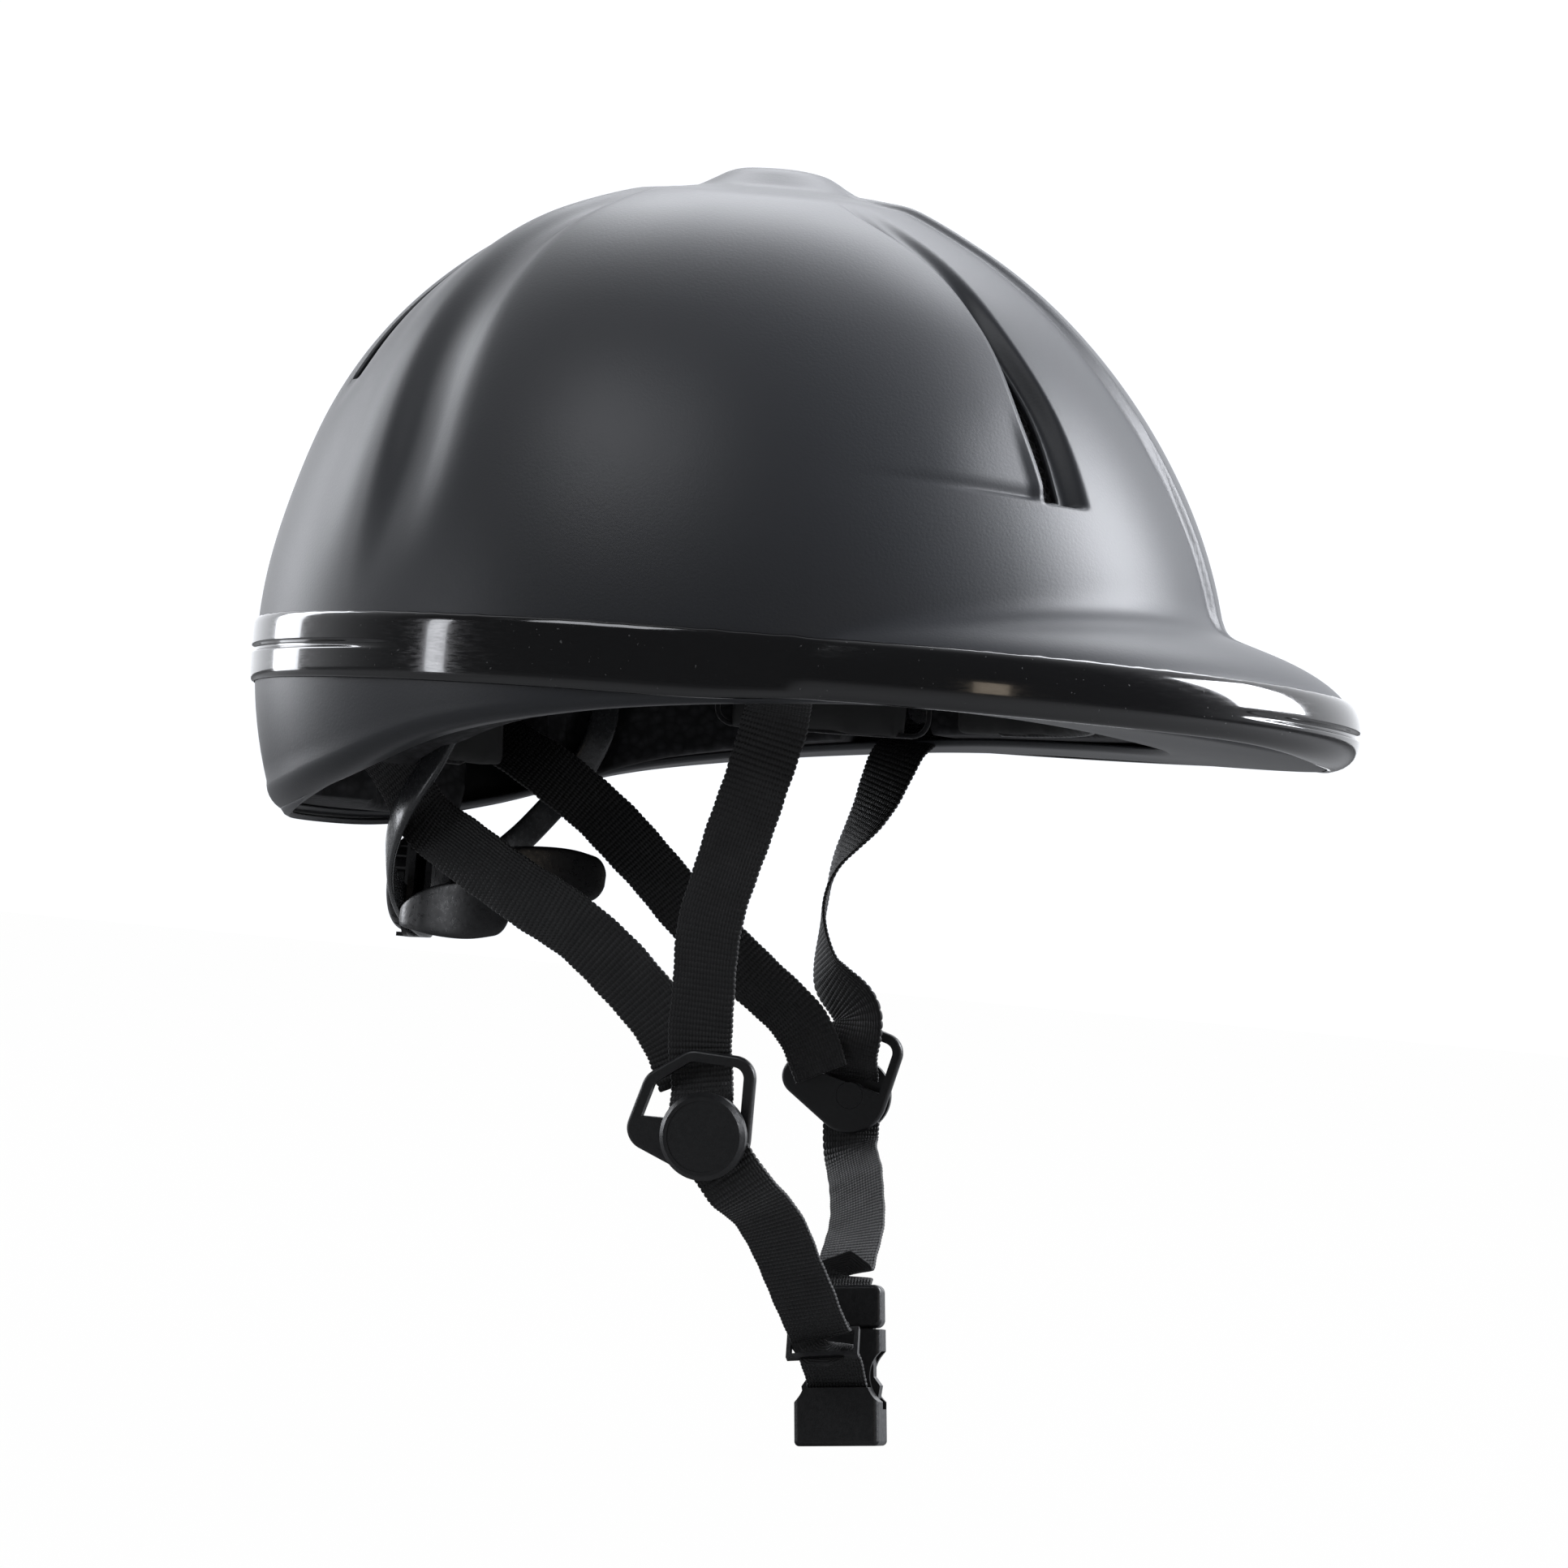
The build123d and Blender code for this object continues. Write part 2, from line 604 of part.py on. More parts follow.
def buckle_female():
    """Socket half: open-mouthed sleeve with side windows, and a deep box end that holds the webbing."""
    sleeve = upright(BUCKLE_WIDTH, BUCKLE_THICKNESS, 0, BUCKLE_SOCKET_LENGTH)
    box_y = -BUCKLE_THICKNESS / 2 - BUCKLE_BOX_DEPTH / 2
    box = upright(BUCKLE_WIDTH, BUCKLE_BOX_DEPTH, 0, BUCKLE_BOX_HEIGHT, y=box_y + 0.5)
    solid = sleeve + box
    solid = fillet(solid.edges().filter_by(Axis.Z), 1.6)
    solid = fillet(solid.edges().group_by(Axis.Z)[0], 1.4)
    for x in (-1, 1):
        scoop = Rot(90, 0, 0) * Cylinder(WINDOW_RADIUS, BIG)
        solid = solid - Pos(x * (BUCKLE_WIDTH / 2 + WINDOW_RADIUS - WINDOW_BITE), 0, WINDOW_MIDDLE) * scoop
    depth = BUCKLE_THICKNESS - 2 * BUCKLE_WALL
    solid = solid - upright(2 * SOCKET_HALF, depth, BUCKLE_FLOOR, BIG)
    window_top = BUCKLE_SOCKET_LENGTH - BUCKLE_COLLAR
    solid = solid - upright(2 * BUCKLE_WIDTH, depth, BUCKLE_FLOOR, window_top)
    solid = solid - upright(SLOT_WIDTH, SLOT_THICKNESS, BOX_SLOT_FLOOR, BIG, y=BOX_SLOT_Y)
    return BUCKLE * solid


def prong_socket(x):
    reach = PRONG_HINGE_RADIUS + RUNNING_CLEARANCE
    eye = Pos(x, 0, HINGE_Z) * Rot(90, 0, 0) * Cylinder(reach, BIG)
    return eye + upright(2 * reach + 1.0, BIG, 0, HINGE_Z - 0.4, x=x)


def buckle_male():
    """Plug half: webbing loop on top, neck that carries the prong hinges, and a centre guide."""
    loop = upright(BUCKLE_WIDTH, BUCKLE_THICKNESS - 2, LOOP_LOW, LOOP_TOP)
    loop = fillet(loop.edges().filter_by(Axis.Y), 2.2)
    loop = fillet(loop.edges().group_by(Axis.Y)[0] + loop.edges().group_by(Axis.Y)[-1], 1.2)
    loop = loop - upright(SLOT_WIDTH, SLOT_THICKNESS, LOOP_LOW + 3, BIG)
    neck = upright(2 * PRONG_OUT, TONGUE_THICKNESS, BUCKLE_SOCKET_LENGTH - 4, LOOP_LOW + 1)
    for x in (-HINGE_X, HINGE_X):
        neck = neck - prong_socket(x)
    guide = upright(2.6, TONGUE_THICKNESS, BUCKLE_FLOOR + 2, BUCKLE_SOCKET_LENGTH)
    return BUCKLE * (loop + neck + guide)


def buckle_prong(x_sign):
    """Springy leg: eye at the top, barb at the bottom that stands behind the collar."""
    eye = Pos(HINGE_X, 0, HINGE_Z) * Rot(90, 0, 0) * Cylinder(PRONG_HINGE_RADIUS, TONGUE_THICKNESS)
    inner = PRONG_OUT - PRONG_THICKNESS
    foot = BUCKLE_FLOOR + 1.5
    outline = Polyline(
        (PRONG_OUT, HINGE_Z), (PRONG_OUT, foot + 7.5), (SOCKET_HALF + PRONG_BARB, foot + 5),
        (SOCKET_HALF + PRONG_BARB - 0.6, foot + 1.5), (PRONG_OUT - 1, foot), (inner, foot),
        (inner, HINGE_Z), (PRONG_OUT, HINGE_Z),
    )
    leg = extrude(Plane.XZ * make_face(outline), TONGUE_THICKNESS / 2, both=True)
    prong = eye + leg
    if x_sign < 0:
        prong = mirror(prong, Plane.YZ)
    return BUCKLE * prong


def strap_keeper():
    """Moulded ring round both layers of the chin strap."""
    route = chin_route(-1.0)
    above, below = route[4], route[5]
    middle = above + (below - above) * 0.45
    along = (above - below).normalized()
    sideways = strap_across(route, -1.0)[4]
    where = Plane(origin=middle, x_dir=sideways, z_dir=along)
    outer = Box(WEBBING_WIDTH + 4.0, 2 * WEBBING_THICKNESS + 5.4, 2.2)
    inner = Box(WEBBING_WIDTH + 1.6, 2 * WEBBING_THICKNESS + 3.0, BIG)
    return where * (outer - inner)


# ---- dial and cradle ----
GUARD_X = -(SHELL_HALF_LENGTH - NAPE_INSET)
YOKE_X = GUARD_X + GUARD_THICKNESS / 2 + LAYER_GAP + YOKE_THICKNESS / 2
CASE_BACK_X = YOKE_X + YOKE_THICKNESS / 2 + LAYER_GAP
CASE_X = CASE_BACK_X + CASE_DEPTH / 2
PITCH_RADIUS = GEAR_MODULE * PINION_TEETH / 2
RACK_HALF_HEIGHT = PITCH_RADIUS + GEAR_MODULE + RACK_BACK
CASE_HALF_HEIGHT = RACK_HALF_HEIGHT + LAYER_GAP + CASE_WALL
KNOB_X = GUARD_X - GUARD_THICKNESS / 2 - LAYER_GAP
SHAFT_FRONT = CASE_X + CASE_DEPTH / 2 + SHAFT_END


def along_x(solid, x):
    """Stand a round piece, drawn round Z, on the dial's axis with its middle at x."""
    return Pos(x, 0, DIAL_HEIGHT) * Rot(0, -90, 0) * solid


def shaft_bore():
    return along_x(Cylinder(SHAFT_RADIUS + RUNNING_CLEARANCE, 8 * CASE_DEPTH), CASE_X)


def dial_knob():
    """Domed knob with gripping notches round its rim."""
    round_part = Cylinder(DIAL_RADIUS, DIAL_THICKNESS, align=(Align.CENTER, Align.CENTER, Align.MIN))
    round_part = fillet(round_part.edges().group_by(Axis.Z)[-1], DIAL_EDGE_RADIUS)
    for index in range(DIAL_GRIPS):
        turn = 360.0 * index / DIAL_GRIPS
        notch = Pos(DIAL_RADIUS + GRIP_RADIUS / 2, 0, 0) * Cylinder(GRIP_RADIUS, BIG)
        round_part = round_part - Rot(0, 0, turn) * notch
    hollow = Cylinder(DIAL_RADIUS - KNOB_RIM, KNOB_HOLLOW, align=(Align.CENTER, Align.CENTER, Align.MIN))
    hub = Cylinder(SHAFT_RADIUS + HUB_WALL, KNOB_HOLLOW, align=(Align.CENTER, Align.CENTER, Align.MIN))
    round_part = round_part - (hollow - hub)
    bore = Cylinder(SHAFT_RADIUS + SHAFT_FIT, 2 * KNOB_BORE_DEPTH)
    return Pos(KNOB_X, 0, DIAL_HEIGHT) * Rot(0, -90, 0) * (round_part - bore)


def dial_pinion():
    """Shaft with a small gear that moves both racks."""
    tip = PITCH_RADIUS + 0.75 * GEAR_MODULE
    root = PITCH_RADIUS - 1.0 * GEAR_MODULE
    pitch_width = math.pi * GEAR_MODULE / 2 - TOOTH_SLACK
    tooth = make_face(Polyline(
        (root - 0.5, -0.75 * pitch_width), (tip, -0.28 * pitch_width),
        (tip, 0.28 * pitch_width), (root - 0.5, 0.75 * pitch_width), (root - 0.5, -0.75 * pitch_width),
    ))
    profile = Circle(root)
    for index in range(PINION_TEETH):
        profile = profile + Rot(0, 0, 360.0 * (index + 0.5) / PINION_TEETH) * tooth
    gear = extrude(profile, RACK_THICKNESS + 0.4)
    gear = Pos(0, 0, -(RACK_THICKNESS + 0.4) / 2) * gear
    gear = along_x(gear, CASE_X)
    back = KNOB_X - KNOB_BORE_DEPTH + BUCKLE_PLAY
    shaft = along_x(Cylinder(SHAFT_RADIUS, SHAFT_FRONT - back), (SHAFT_FRONT + back) / 2)
    hole_length = 1.5 * SCREW_LENGTH
    screw_hole = Cylinder(SCREW_RADIUS + SCREW_HOLE_CLEARANCE, hole_length)
    return gear + shaft - along_x(screw_hole, SHAFT_FRONT - hole_length / 2)


def dial_screw():
    """Screw that closes the shaft, with a driver slot."""
    under_head = SHAFT_FRONT + SCREW_HOLE_CLEARANCE
    head_middle = under_head + SCREW_HEAD_THICKNESS / 2
    head = along_x(Cylinder(SCREW_HEAD_RADIUS, SCREW_HEAD_THICKNESS), head_middle)
    shank = along_x(Cylinder(SCREW_RADIUS, SCREW_LENGTH), under_head - SCREW_LENGTH / 2)
    slot_at = Pos(under_head + SCREW_HEAD_THICKNESS, 0, DIAL_HEIGHT)
    return head + shank - slot_at * Box(SCREW_HEAD_THICKNESS, 0.9, 1.5 * SCREW_HEAD_RADIUS)


def dial_guard():
    """Thin plate behind the knob, with a see-through slot above and below it."""
    half_height = DIAL_RADIUS + GUARD_OVERHANG
    plate = Box(GUARD_THICKNESS, 2 * DIAL_RADIUS, 2 * half_height)
    plate = fillet(plate.edges().filter_by(Axis.X), GUARD_CORNER)
    plate = Pos(GUARD_X, 0, DIAL_HEIGHT) * plate - shaft_bore()
    for sign in (-1, 1):
        ledge_z = DIAL_HEIGHT + sign * (half_height - LEDGE_THICKNESS / 2)
        ledge = Pos(GUARD_X - LEDGE_DEPTH / 2, 0, ledge_z) * Box(LEDGE_DEPTH, 0.9 * DIAL_RADIUS, LEDGE_THICKNESS)
        plate = plate + ledge
    return plate


def yoke_route(side):
    rest = [
        (-0.630, 0.000, -72.0), (-0.618, 0.205, -67.0), (-0.600, 0.385, -57.0), (-0.535, 0.556, -42.0),
        (-0.460, 0.606, -26.0), (-0.418, 0.630, -12.0), (-0.412, 0.660, 4.0),
    ]
    return [spot(x, y, z, side) for x, y, z in rest]


def yoke_across(route, side):
    """The arm's wide side lies in the surface of the head."""
    flat = []
    last = len(route) - 1
    for index, point in enumerate(route):
        outward = Vector(point.X / SHELL_HALF_LENGTH, point.Y / SHELL_HALF_WIDTH, 0).normalized()
        along = (route[min(index + 1, last)] - route[max(index - 1, 0)]).normalized()
        flat.append(along.cross(outward).normalized() * side)
    return flat


def yoke_socket(side):
    route = yoke_route(side)[-3:]
    end = route[-1] + (route[-1] - route[-2]).normalized() * POCKET_MARGIN
    route[-1] = end
    widths = [YOKE_ARM_WIDTH + POCKET_MARGIN] * len(route)
    return ribbon(route, yoke_across(route, side), widths, YOKE_THICKNESS + 2 * POCKET_MARGIN)


def yoke():
    """V-shaped yoke: one strip from shell to nape and back, with a plate in front of the guard."""
    plate = Box(YOKE_THICKNESS - YOKE_PLATE_STEP, YOKE_PLATE_WIDTH, YOKE_PLATE_HEIGHT)
    plate = fillet(plate.edges().filter_by(Axis.X), CRADLE_CORNER)
    stations = []
    for side in (SIDES["right"], SIDES["left"]):
        route = yoke_route(side)
        near = Vector(YOKE_X, side * YOKE_STRAIGHT, route[0].Z + 1.5)
        arm = list(zip([near] + route[1:], [Vector(0, 0, 1)] + yoke_across(route, side)[1:]))
        if side < 0:
            stations = arm[::-1] + [(Vector(YOKE_X, 0, route[0].Z), Vector(0, 0, 1))]
        else:
            stations = stations + arm
    points, across = zip(*stations)
    strip = ribbon(points, across, [YOKE_ARM_WIDTH] * len(stations), YOKE_THICKNESS)
    return strip + Pos(YOKE_X, 0, DIAL_HEIGHT) * plate - shaft_bore()


def rack_case():
    """Flat case open on both sides, where the two racks pass the pinion."""
    outer = Box(CASE_DEPTH, 2 * CASE_HALF_WIDTH, 2 * CASE_HALF_HEIGHT)
    outer = fillet(outer.edges().filter_by(Axis.X), CRADLE_CORNER)
    room = Box(RACK_THICKNESS + 4 * LAYER_GAP, BIG, 2 * (RACK_HALF_HEIGHT + LAYER_GAP))
    return Pos(CASE_X, 0, DIAL_HEIGHT) * (outer - room) - shaft_bore()


def wing_route(side):
    level = DIAL_HEIGHT + side * (PITCH_RADIUS + GEAR_MODULE + RACK_BACK / 2)
    start = CASE_HALF_WIDTH + TIGHTEN_TRAVEL + 1.0
    rest = [
        (-0.530, 0.372, 0.60), (-0.480, 0.400, 0.35), (-0.410, 0.424, 0.15), (-0.330, 0.430, 0.0),
    ]
    middle = DIAL_HEIGHT + side * 5.5
    route = [Vector(CASE_X, side * (start - 6), level), Vector(CASE_X, side * (start + 1), level)]
    for x, y, share in rest:
        route.append(spot(x, y, middle + (level - middle) * share, side))
    return route


def wing(side):
    """Rack in the case and wing round the nape, in one moulding."""
    back_z = DIAL_HEIGHT + side * (PITCH_RADIUS + GEAR_MODULE + RACK_BACK / 2)
    reach = CASE_HALF_WIDTH + TIGHTEN_TRAVEL + 1.0
    length = reach + RACK_PAST_CENTRE
    middle = side * (reach - RACK_PAST_CENTRE) / 2
    spine = Pos(CASE_X, middle, back_z) * Box(RACK_THICKNESS, length, RACK_BACK)
    pitch = math.pi * GEAR_MODULE
    pitch_width = pitch / 2 - TOOTH_SLACK
    teeth = []
    count = int((reach + RACK_PAST_CENTRE - 12.0) / pitch)
    first = int(RACK_PAST_CENTRE / pitch)
    for index in range(-first, count - first):
        place = side * index * pitch
        root_z = PITCH_RADIUS + GEAR_MODULE + 0.2
        tip_z = PITCH_RADIUS - 0.7 * GEAR_MODULE
        outline = Polyline(
            (place - 0.75 * pitch_width, root_z), (place - 0.3 * pitch_width, tip_z),
            (place + 0.3 * pitch_width, tip_z), (place + 0.75 * pitch_width, root_z),
            (place - 0.75 * pitch_width, root_z),
        )
        face = Plane.YZ * make_face(outline)
        tooth = extrude(face, RACK_THICKNESS / 2, both=True)
        if side < 0:
            tooth = mirror(tooth, Plane.XY)
        teeth.append(Pos(CASE_X, 0, DIAL_HEIGHT) * tooth)
    solid = spine
    for tooth in teeth:
        solid = solid + tooth
    route = wing_route(side)
    across = [Vector(0, 0, 1)] * len(route)
    widths = [RACK_BACK, RACK_BACK, *WING_WIDTHS]
    return solid + ribbon(route, across, widths, WING_THICKNESS)


def click_spring():
    """Leaf between knob and guard that gives the clicks."""
    outer = Cylinder(DIAL_RADIUS - KNOB_RIM - 3 * LAYER_GAP, SPRING_THICKNESS)
    inner = Cylinder(SHAFT_RADIUS + HUB_WALL + 2 * LAYER_GAP, DIAL_THICKNESS)
    return along_x(outer - inner, KNOB_X - SPRING_THICKNESS)


def main():
    save(upper_shell(), "upper_shell")
    save(lower_shell(), "lower_shell")
    save(trim_band(), "trim_band")
    save(foam_liner(), "foam_liner")
    for label, side in SIDES.items():
        save(vent_mesh(FRONT_VENT, side), "vent_mesh_front_" + label)
        save(vent_mesh(REAR_VENT, side), "vent_mesh_rear_" + label)
        save(strap(front_route(side), side), "front_strap_" + label)
        save(strap(rear_route(side), side), "rear_strap_" + label)
        save(chin_webbing(side), "chin_strap_" + label)
        save(divider_plate(side), "divider_plate_" + label)
        save(divider_cap(side), "divider_cap_" + label)
        save(wing(side), "wing_" + label)
    for name, (turn_from, turn_to, low, high) in PADS.items():
        save(pad(turn_from, turn_to, low, high), name)
    save(crown_pad(), "crown_pad")
    save(hook_patches(), "hook_patches")
    save(rivets(), "anchor_rivets")
    save(buckle_female(), "buckle_female")
    save(buckle_male(), "buckle_male")
    save(buckle_prong(1), "buckle_prong_front")
    save(buckle_prong(-1), "buckle_prong_rear")
    save(strap_keeper(), "strap_keeper")
    save(dial_knob(), "dial_knob")
    save(dial_pinion(), "dial_pinion")
    save(dial_screw(), "dial_screw")
    save(dial_guard(), "dial_guard")
    save(click_spring(), "click_spring")
    save(yoke(), "yoke")
    save(rack_case(), "rack_case")


main()
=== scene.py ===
"""Riding helmet: matte outer shell with peak, gloss seam band, padded lining, fit cradle and chin harness."""
import math

import bmesh
import bpy
import numpy as np
from bpy.props import FloatProperty, FloatVectorProperty, IntProperty, PointerProperty
from mathutils import Matrix, Vector


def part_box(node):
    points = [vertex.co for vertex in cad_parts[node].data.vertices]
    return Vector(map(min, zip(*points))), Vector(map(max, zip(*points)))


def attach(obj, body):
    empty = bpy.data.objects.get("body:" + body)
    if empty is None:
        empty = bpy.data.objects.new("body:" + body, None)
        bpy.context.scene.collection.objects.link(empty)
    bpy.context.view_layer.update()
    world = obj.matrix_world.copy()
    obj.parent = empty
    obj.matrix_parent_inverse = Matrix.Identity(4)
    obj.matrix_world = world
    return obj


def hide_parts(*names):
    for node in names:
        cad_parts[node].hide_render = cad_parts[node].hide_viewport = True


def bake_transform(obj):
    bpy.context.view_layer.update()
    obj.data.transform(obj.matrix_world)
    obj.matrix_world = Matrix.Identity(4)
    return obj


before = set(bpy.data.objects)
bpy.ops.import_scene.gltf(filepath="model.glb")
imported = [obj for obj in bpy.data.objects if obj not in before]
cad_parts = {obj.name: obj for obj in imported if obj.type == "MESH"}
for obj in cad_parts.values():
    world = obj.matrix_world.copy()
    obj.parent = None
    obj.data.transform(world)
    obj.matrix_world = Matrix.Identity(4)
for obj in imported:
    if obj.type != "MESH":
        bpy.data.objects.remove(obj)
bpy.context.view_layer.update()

bl_info = {
    "name": "Riding Helmet",
    "version": (1, 0, 0),
    "blender": (4, 5, 0),
    "location": "View3D > Sidebar > Helmet",
    "description": "Builds a riding helmet's shells, band, pads, harness and fit cradle round its frame",
    "category": "Object",
}

MM = 0.001
RIGHT = -1
LEFT = 1
SIDE_NAMES = {RIGHT: "right", LEFT: "left"}


def to_mm(corner):
    return np.array(corner) / MM


SHELL_LOW, SHELL_HIGH = (to_mm(corner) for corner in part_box("upper_shell"))
LOWER_LOW = to_mm(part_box("lower_shell")[0])
TRIM_HIGH = to_mm(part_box("trim_band")[1])
HALF_LENGTH = -SHELL_LOW[0]
HALF_WIDTH = SHELL_HIGH[1]
TIP = SHELL_HIGH[0]
BOSS_TOP = SHELL_HIGH[2]
DOME_HEIGHT = BOSS_TOP - 5.0
NAPE = LOWER_LOW[2]
TRIM_HALF = TRIM_HIGH[2]
TRIM_PROUD = TRIM_HIGH[1] - HALF_WIDTH


# ---------------------------------------------------------------- sizes and colours a user may change


class ShellSettings(bpy.types.PropertyGroup):
    """Finish and relief of the two outer shells."""

    columns: IntProperty(name="Columns", description="Grid columns per half shell", default=190, min=80)
    rows: IntProperty(name="Rows", description="Grid rows from seam to crown", default=112, min=40)
    channel_depth: FloatProperty(
        name="Channel depth", description="Depth of the front vent channels", default=5.8 * MM, unit="LENGTH"
    )
    wall: FloatProperty(name="Wall", description="Shell wall thickness", default=1.8 * MM, unit="LENGTH")
    colour: FloatVectorProperty(
        name="Colour", description="Matte shell colour", default=(0.0125, 0.0140, 0.0175), subtype="COLOR"
    )


class TrimSettings(bpy.types.PropertyGroup):
    """Gloss band over the seam."""

    colour: FloatVectorProperty(
        name="Colour", description="Gloss band colour", default=(0.003, 0.003, 0.0035), subtype="COLOR"
    )
    groove: FloatProperty(
        name="Groove", description="Depth of the groove at mid height", default=1.2 * MM, unit="LENGTH"
    )


class HarnessSettings(bpy.types.PropertyGroup):
    """Ribbed webbing and its moulded fittings."""

    width: FloatProperty(
        name="Width", description="Webbing width over its woven edges", default=17.4 * MM, unit="LENGTH"
    )
    thickness: FloatProperty(
        name="Thickness", description="Webbing thickness", default=1.5 * MM, unit="LENGTH"
    )
    rib_pitch: FloatProperty(
        name="Rib pitch", description="Distance between woven ribs", default=1.55 * MM, unit="LENGTH"
    )
    colour: FloatVectorProperty(
        name="Colour", description="Webbing colour", default=(0.0065, 0.0065, 0.0068), subtype="COLOR"
    )
    fitting_colour: FloatVectorProperty(
        name="Fittings",
        description="Moulded fittings colour",
        default=(0.0070, 0.0072, 0.0078),
        subtype="COLOR",
    )


class PadSettings(bpy.types.PropertyGroup):
    """Soft pads inside the shell."""

    pressure: FloatProperty(
        name="Pressure", description="Inflation of the pads in the simulation", default=4.0
    )
    swell_limit: FloatProperty(
        name="Swell limit", description="Furthest a pad's skin may move", default=3.0 * MM, unit="LENGTH"
    )
    colour: FloatVectorProperty(
        name="Colour", description="Pad cover colour", default=(0.020, 0.020, 0.022), subtype="COLOR"
    )


# ---------------------------------------------------------------- numpy helpers


def smooth(t):
    """Smootherstep of t clipped to 0..1."""
    t = np.clip(t, 0.0, 1.0)
    return t * t * t * (t * (6.0 * t - 15.0) + 10.0)


def curve_through(x, stations, values):
    """Smooth curve through a few points: cubic Hermite spans whose slopes are the mean of their neighbours."""
    xs = np.asarray(stations, float)
    ys = np.asarray(values, float)
    slopes = np.gradient(ys, xs)
    x = np.clip(x, xs[0], xs[-1])
    i = np.clip(np.searchsorted(xs, x, side="right") - 1, 0, len(xs) - 2)
    h = xs[i + 1] - xs[i]
    t = (x - xs[i]) / h
    return (
        (2 * t**3 - 3 * t**2 + 1) * ys[i]
        + (t**3 - 2 * t**2 + t) * h * slopes[i]
        + (3 * t**2 - 2 * t**3) * ys[i + 1]
        + (t**3 - t**2) * h * slopes[i + 1]
    )


def unit(v):
    return v / np.maximum(np.linalg.norm(v, axis=-1, keepdims=True), 1e-12)


def grid_faces(rows, columns, wrap=False):
    """Quads of a grid whose vertices run row by row; wrap joins the last column to the first."""
    across = columns if wrap else columns - 1
    r, c = np.meshgrid(np.arange(rows - 1), np.arange(across), indexing="ij")
    c_next = (c + 1) % columns
    below, above = r * columns, (r + 1) * columns
    return np.stack([below + c, below + c_next, above + c_next, above + c], -1)


def mesh_object(name, points_mm, faces, uv=None):
    """Mesh object at the origin from points in millimetres and lists of faces."""
    mesh = bpy.data.meshes.new(name)
    corners = sum((np.asarray(group).tolist() for group in faces), [])
    mesh.from_pydata((np.asarray(points_mm).reshape(-1, 3) * MM).tolist(), [], corners)
    mesh.validate()
    if uv is not None:
        layer = mesh.uv_layers.new(name="UVMap")
        loops = np.zeros(len(mesh.loops), dtype=np.int32)
        mesh.loops.foreach_get("vertex_index", loops)
        layer.data.foreach_set("uv", np.asarray(uv, dtype=np.float32).reshape(-1, 2)[loops].ravel())
    mesh.polygons.foreach_set("use_smooth", np.ones(len(mesh.polygons), dtype=bool))
    mesh.update()
    obj = bpy.data.objects.new(name, mesh)
    bpy.context.scene.collection.objects.link(obj)
    return obj


def make_outward(obj):
    """Turns every face of a closed mesh outwards."""
    shape = bmesh.new()
    shape.from_mesh(obj.data)
    bmesh.ops.recalc_face_normals(shape, faces=shape.faces)
    shape.to_mesh(obj.data)
    shape.free()


def add_modifier(obj, kind, **settings):
    modifier = obj.modifiers.new(kind.title(), kind)
    for key, value in settings.items():
        setattr(modifier, key, value)
    return modifier


# ---------------------------------------------------------------- outer form of the helmet

PEAK_CENTRE = 42.0
PEAK_SPREAD = HALF_WIDTH - 5.0
PEAK_CROWN = 32.0
PEAK_CROWN_POWER = 2.3
PEAK_BELLY = 16.0
PEAK_BELLY_POWER = 3.2
UNDERSIDE = 9.6
BAND_LIFT = 0.12
# Share by which the band's lower half narrows beside the peak, and how far the nape tucks in.
BAND_ARCH = 0.27
TUCK = 2.6
LOWER_CORNER = 3.4
NAPE_EXTRA_CORNER = 5.0
EAR_RIM = -15.0
LOWER_WALL = 1.6
MOUTH_INSET = 12.5
CAVITY = np.array([108.0, 83.5, 117.0])
LEAN = 5.5
REAR_FULLNESS = 0.03
BOSS_X = 1.5


def dome_gauge(p):
    """Size of the ellipsoid through p against the dome: 1 on it, with the slope of that size.

    The dome leans back between the seam and the crown, and is a little fuller behind the crown.
    """
    half = np.array([HALF_LENGTH, HALF_WIDTH, DOME_HEIGHT])
    lean = LEAN * smooth(p[..., 2] / 135.0) * smooth((DOME_HEIGHT + 5.0 - p[..., 2]) / 25.0)
    leaned = p + np.stack([lean, 0 * lean, 0 * lean], -1)
    size = np.sqrt(np.sum((leaned / half) ** 2, axis=-1))
    slope = np.linalg.norm(leaned / half**2, axis=-1) / np.maximum(size, 1e-6)
    fuller = REAR_FULLNESS * np.clip(-p[..., 0] / HALF_LENGTH, 0, 1) * np.clip(p[..., 2] / DOME_HEIGHT, 0, 1)
    return size - fuller, slope


def peak_gauge(p):
    """The same for the peak: an ellipse in plan, with a superellipse as its section up and down."""
    qx = (p[..., 0] - PEAK_CENTRE) / (TIP - PEAK_CENTRE)
    qy = p[..., 1] / PEAK_SPREAD
    q = np.sqrt(qx**2 + qy**2) + 1e-9
    up = p[..., 2] >= 0
    power = np.where(up, PEAK_CROWN_POWER, PEAK_BELLY_POWER)
    height = np.where(up, PEAK_CROWN, PEAK_BELLY)
    lift = np.abs(p[..., 2]) / height + 1e-9
    size = (q**power + lift**power) ** (1 / power)
    d_q = (q / size) ** (power - 1)
    d_lift = (lift / size) ** (power - 1) / height
    flat = np.sqrt((qx / (TIP - PEAK_CENTRE)) ** 2 + (qy / PEAK_SPREAD) ** 2) / q
    return size, np.sqrt((d_q * flat) ** 2 + d_lift**2)


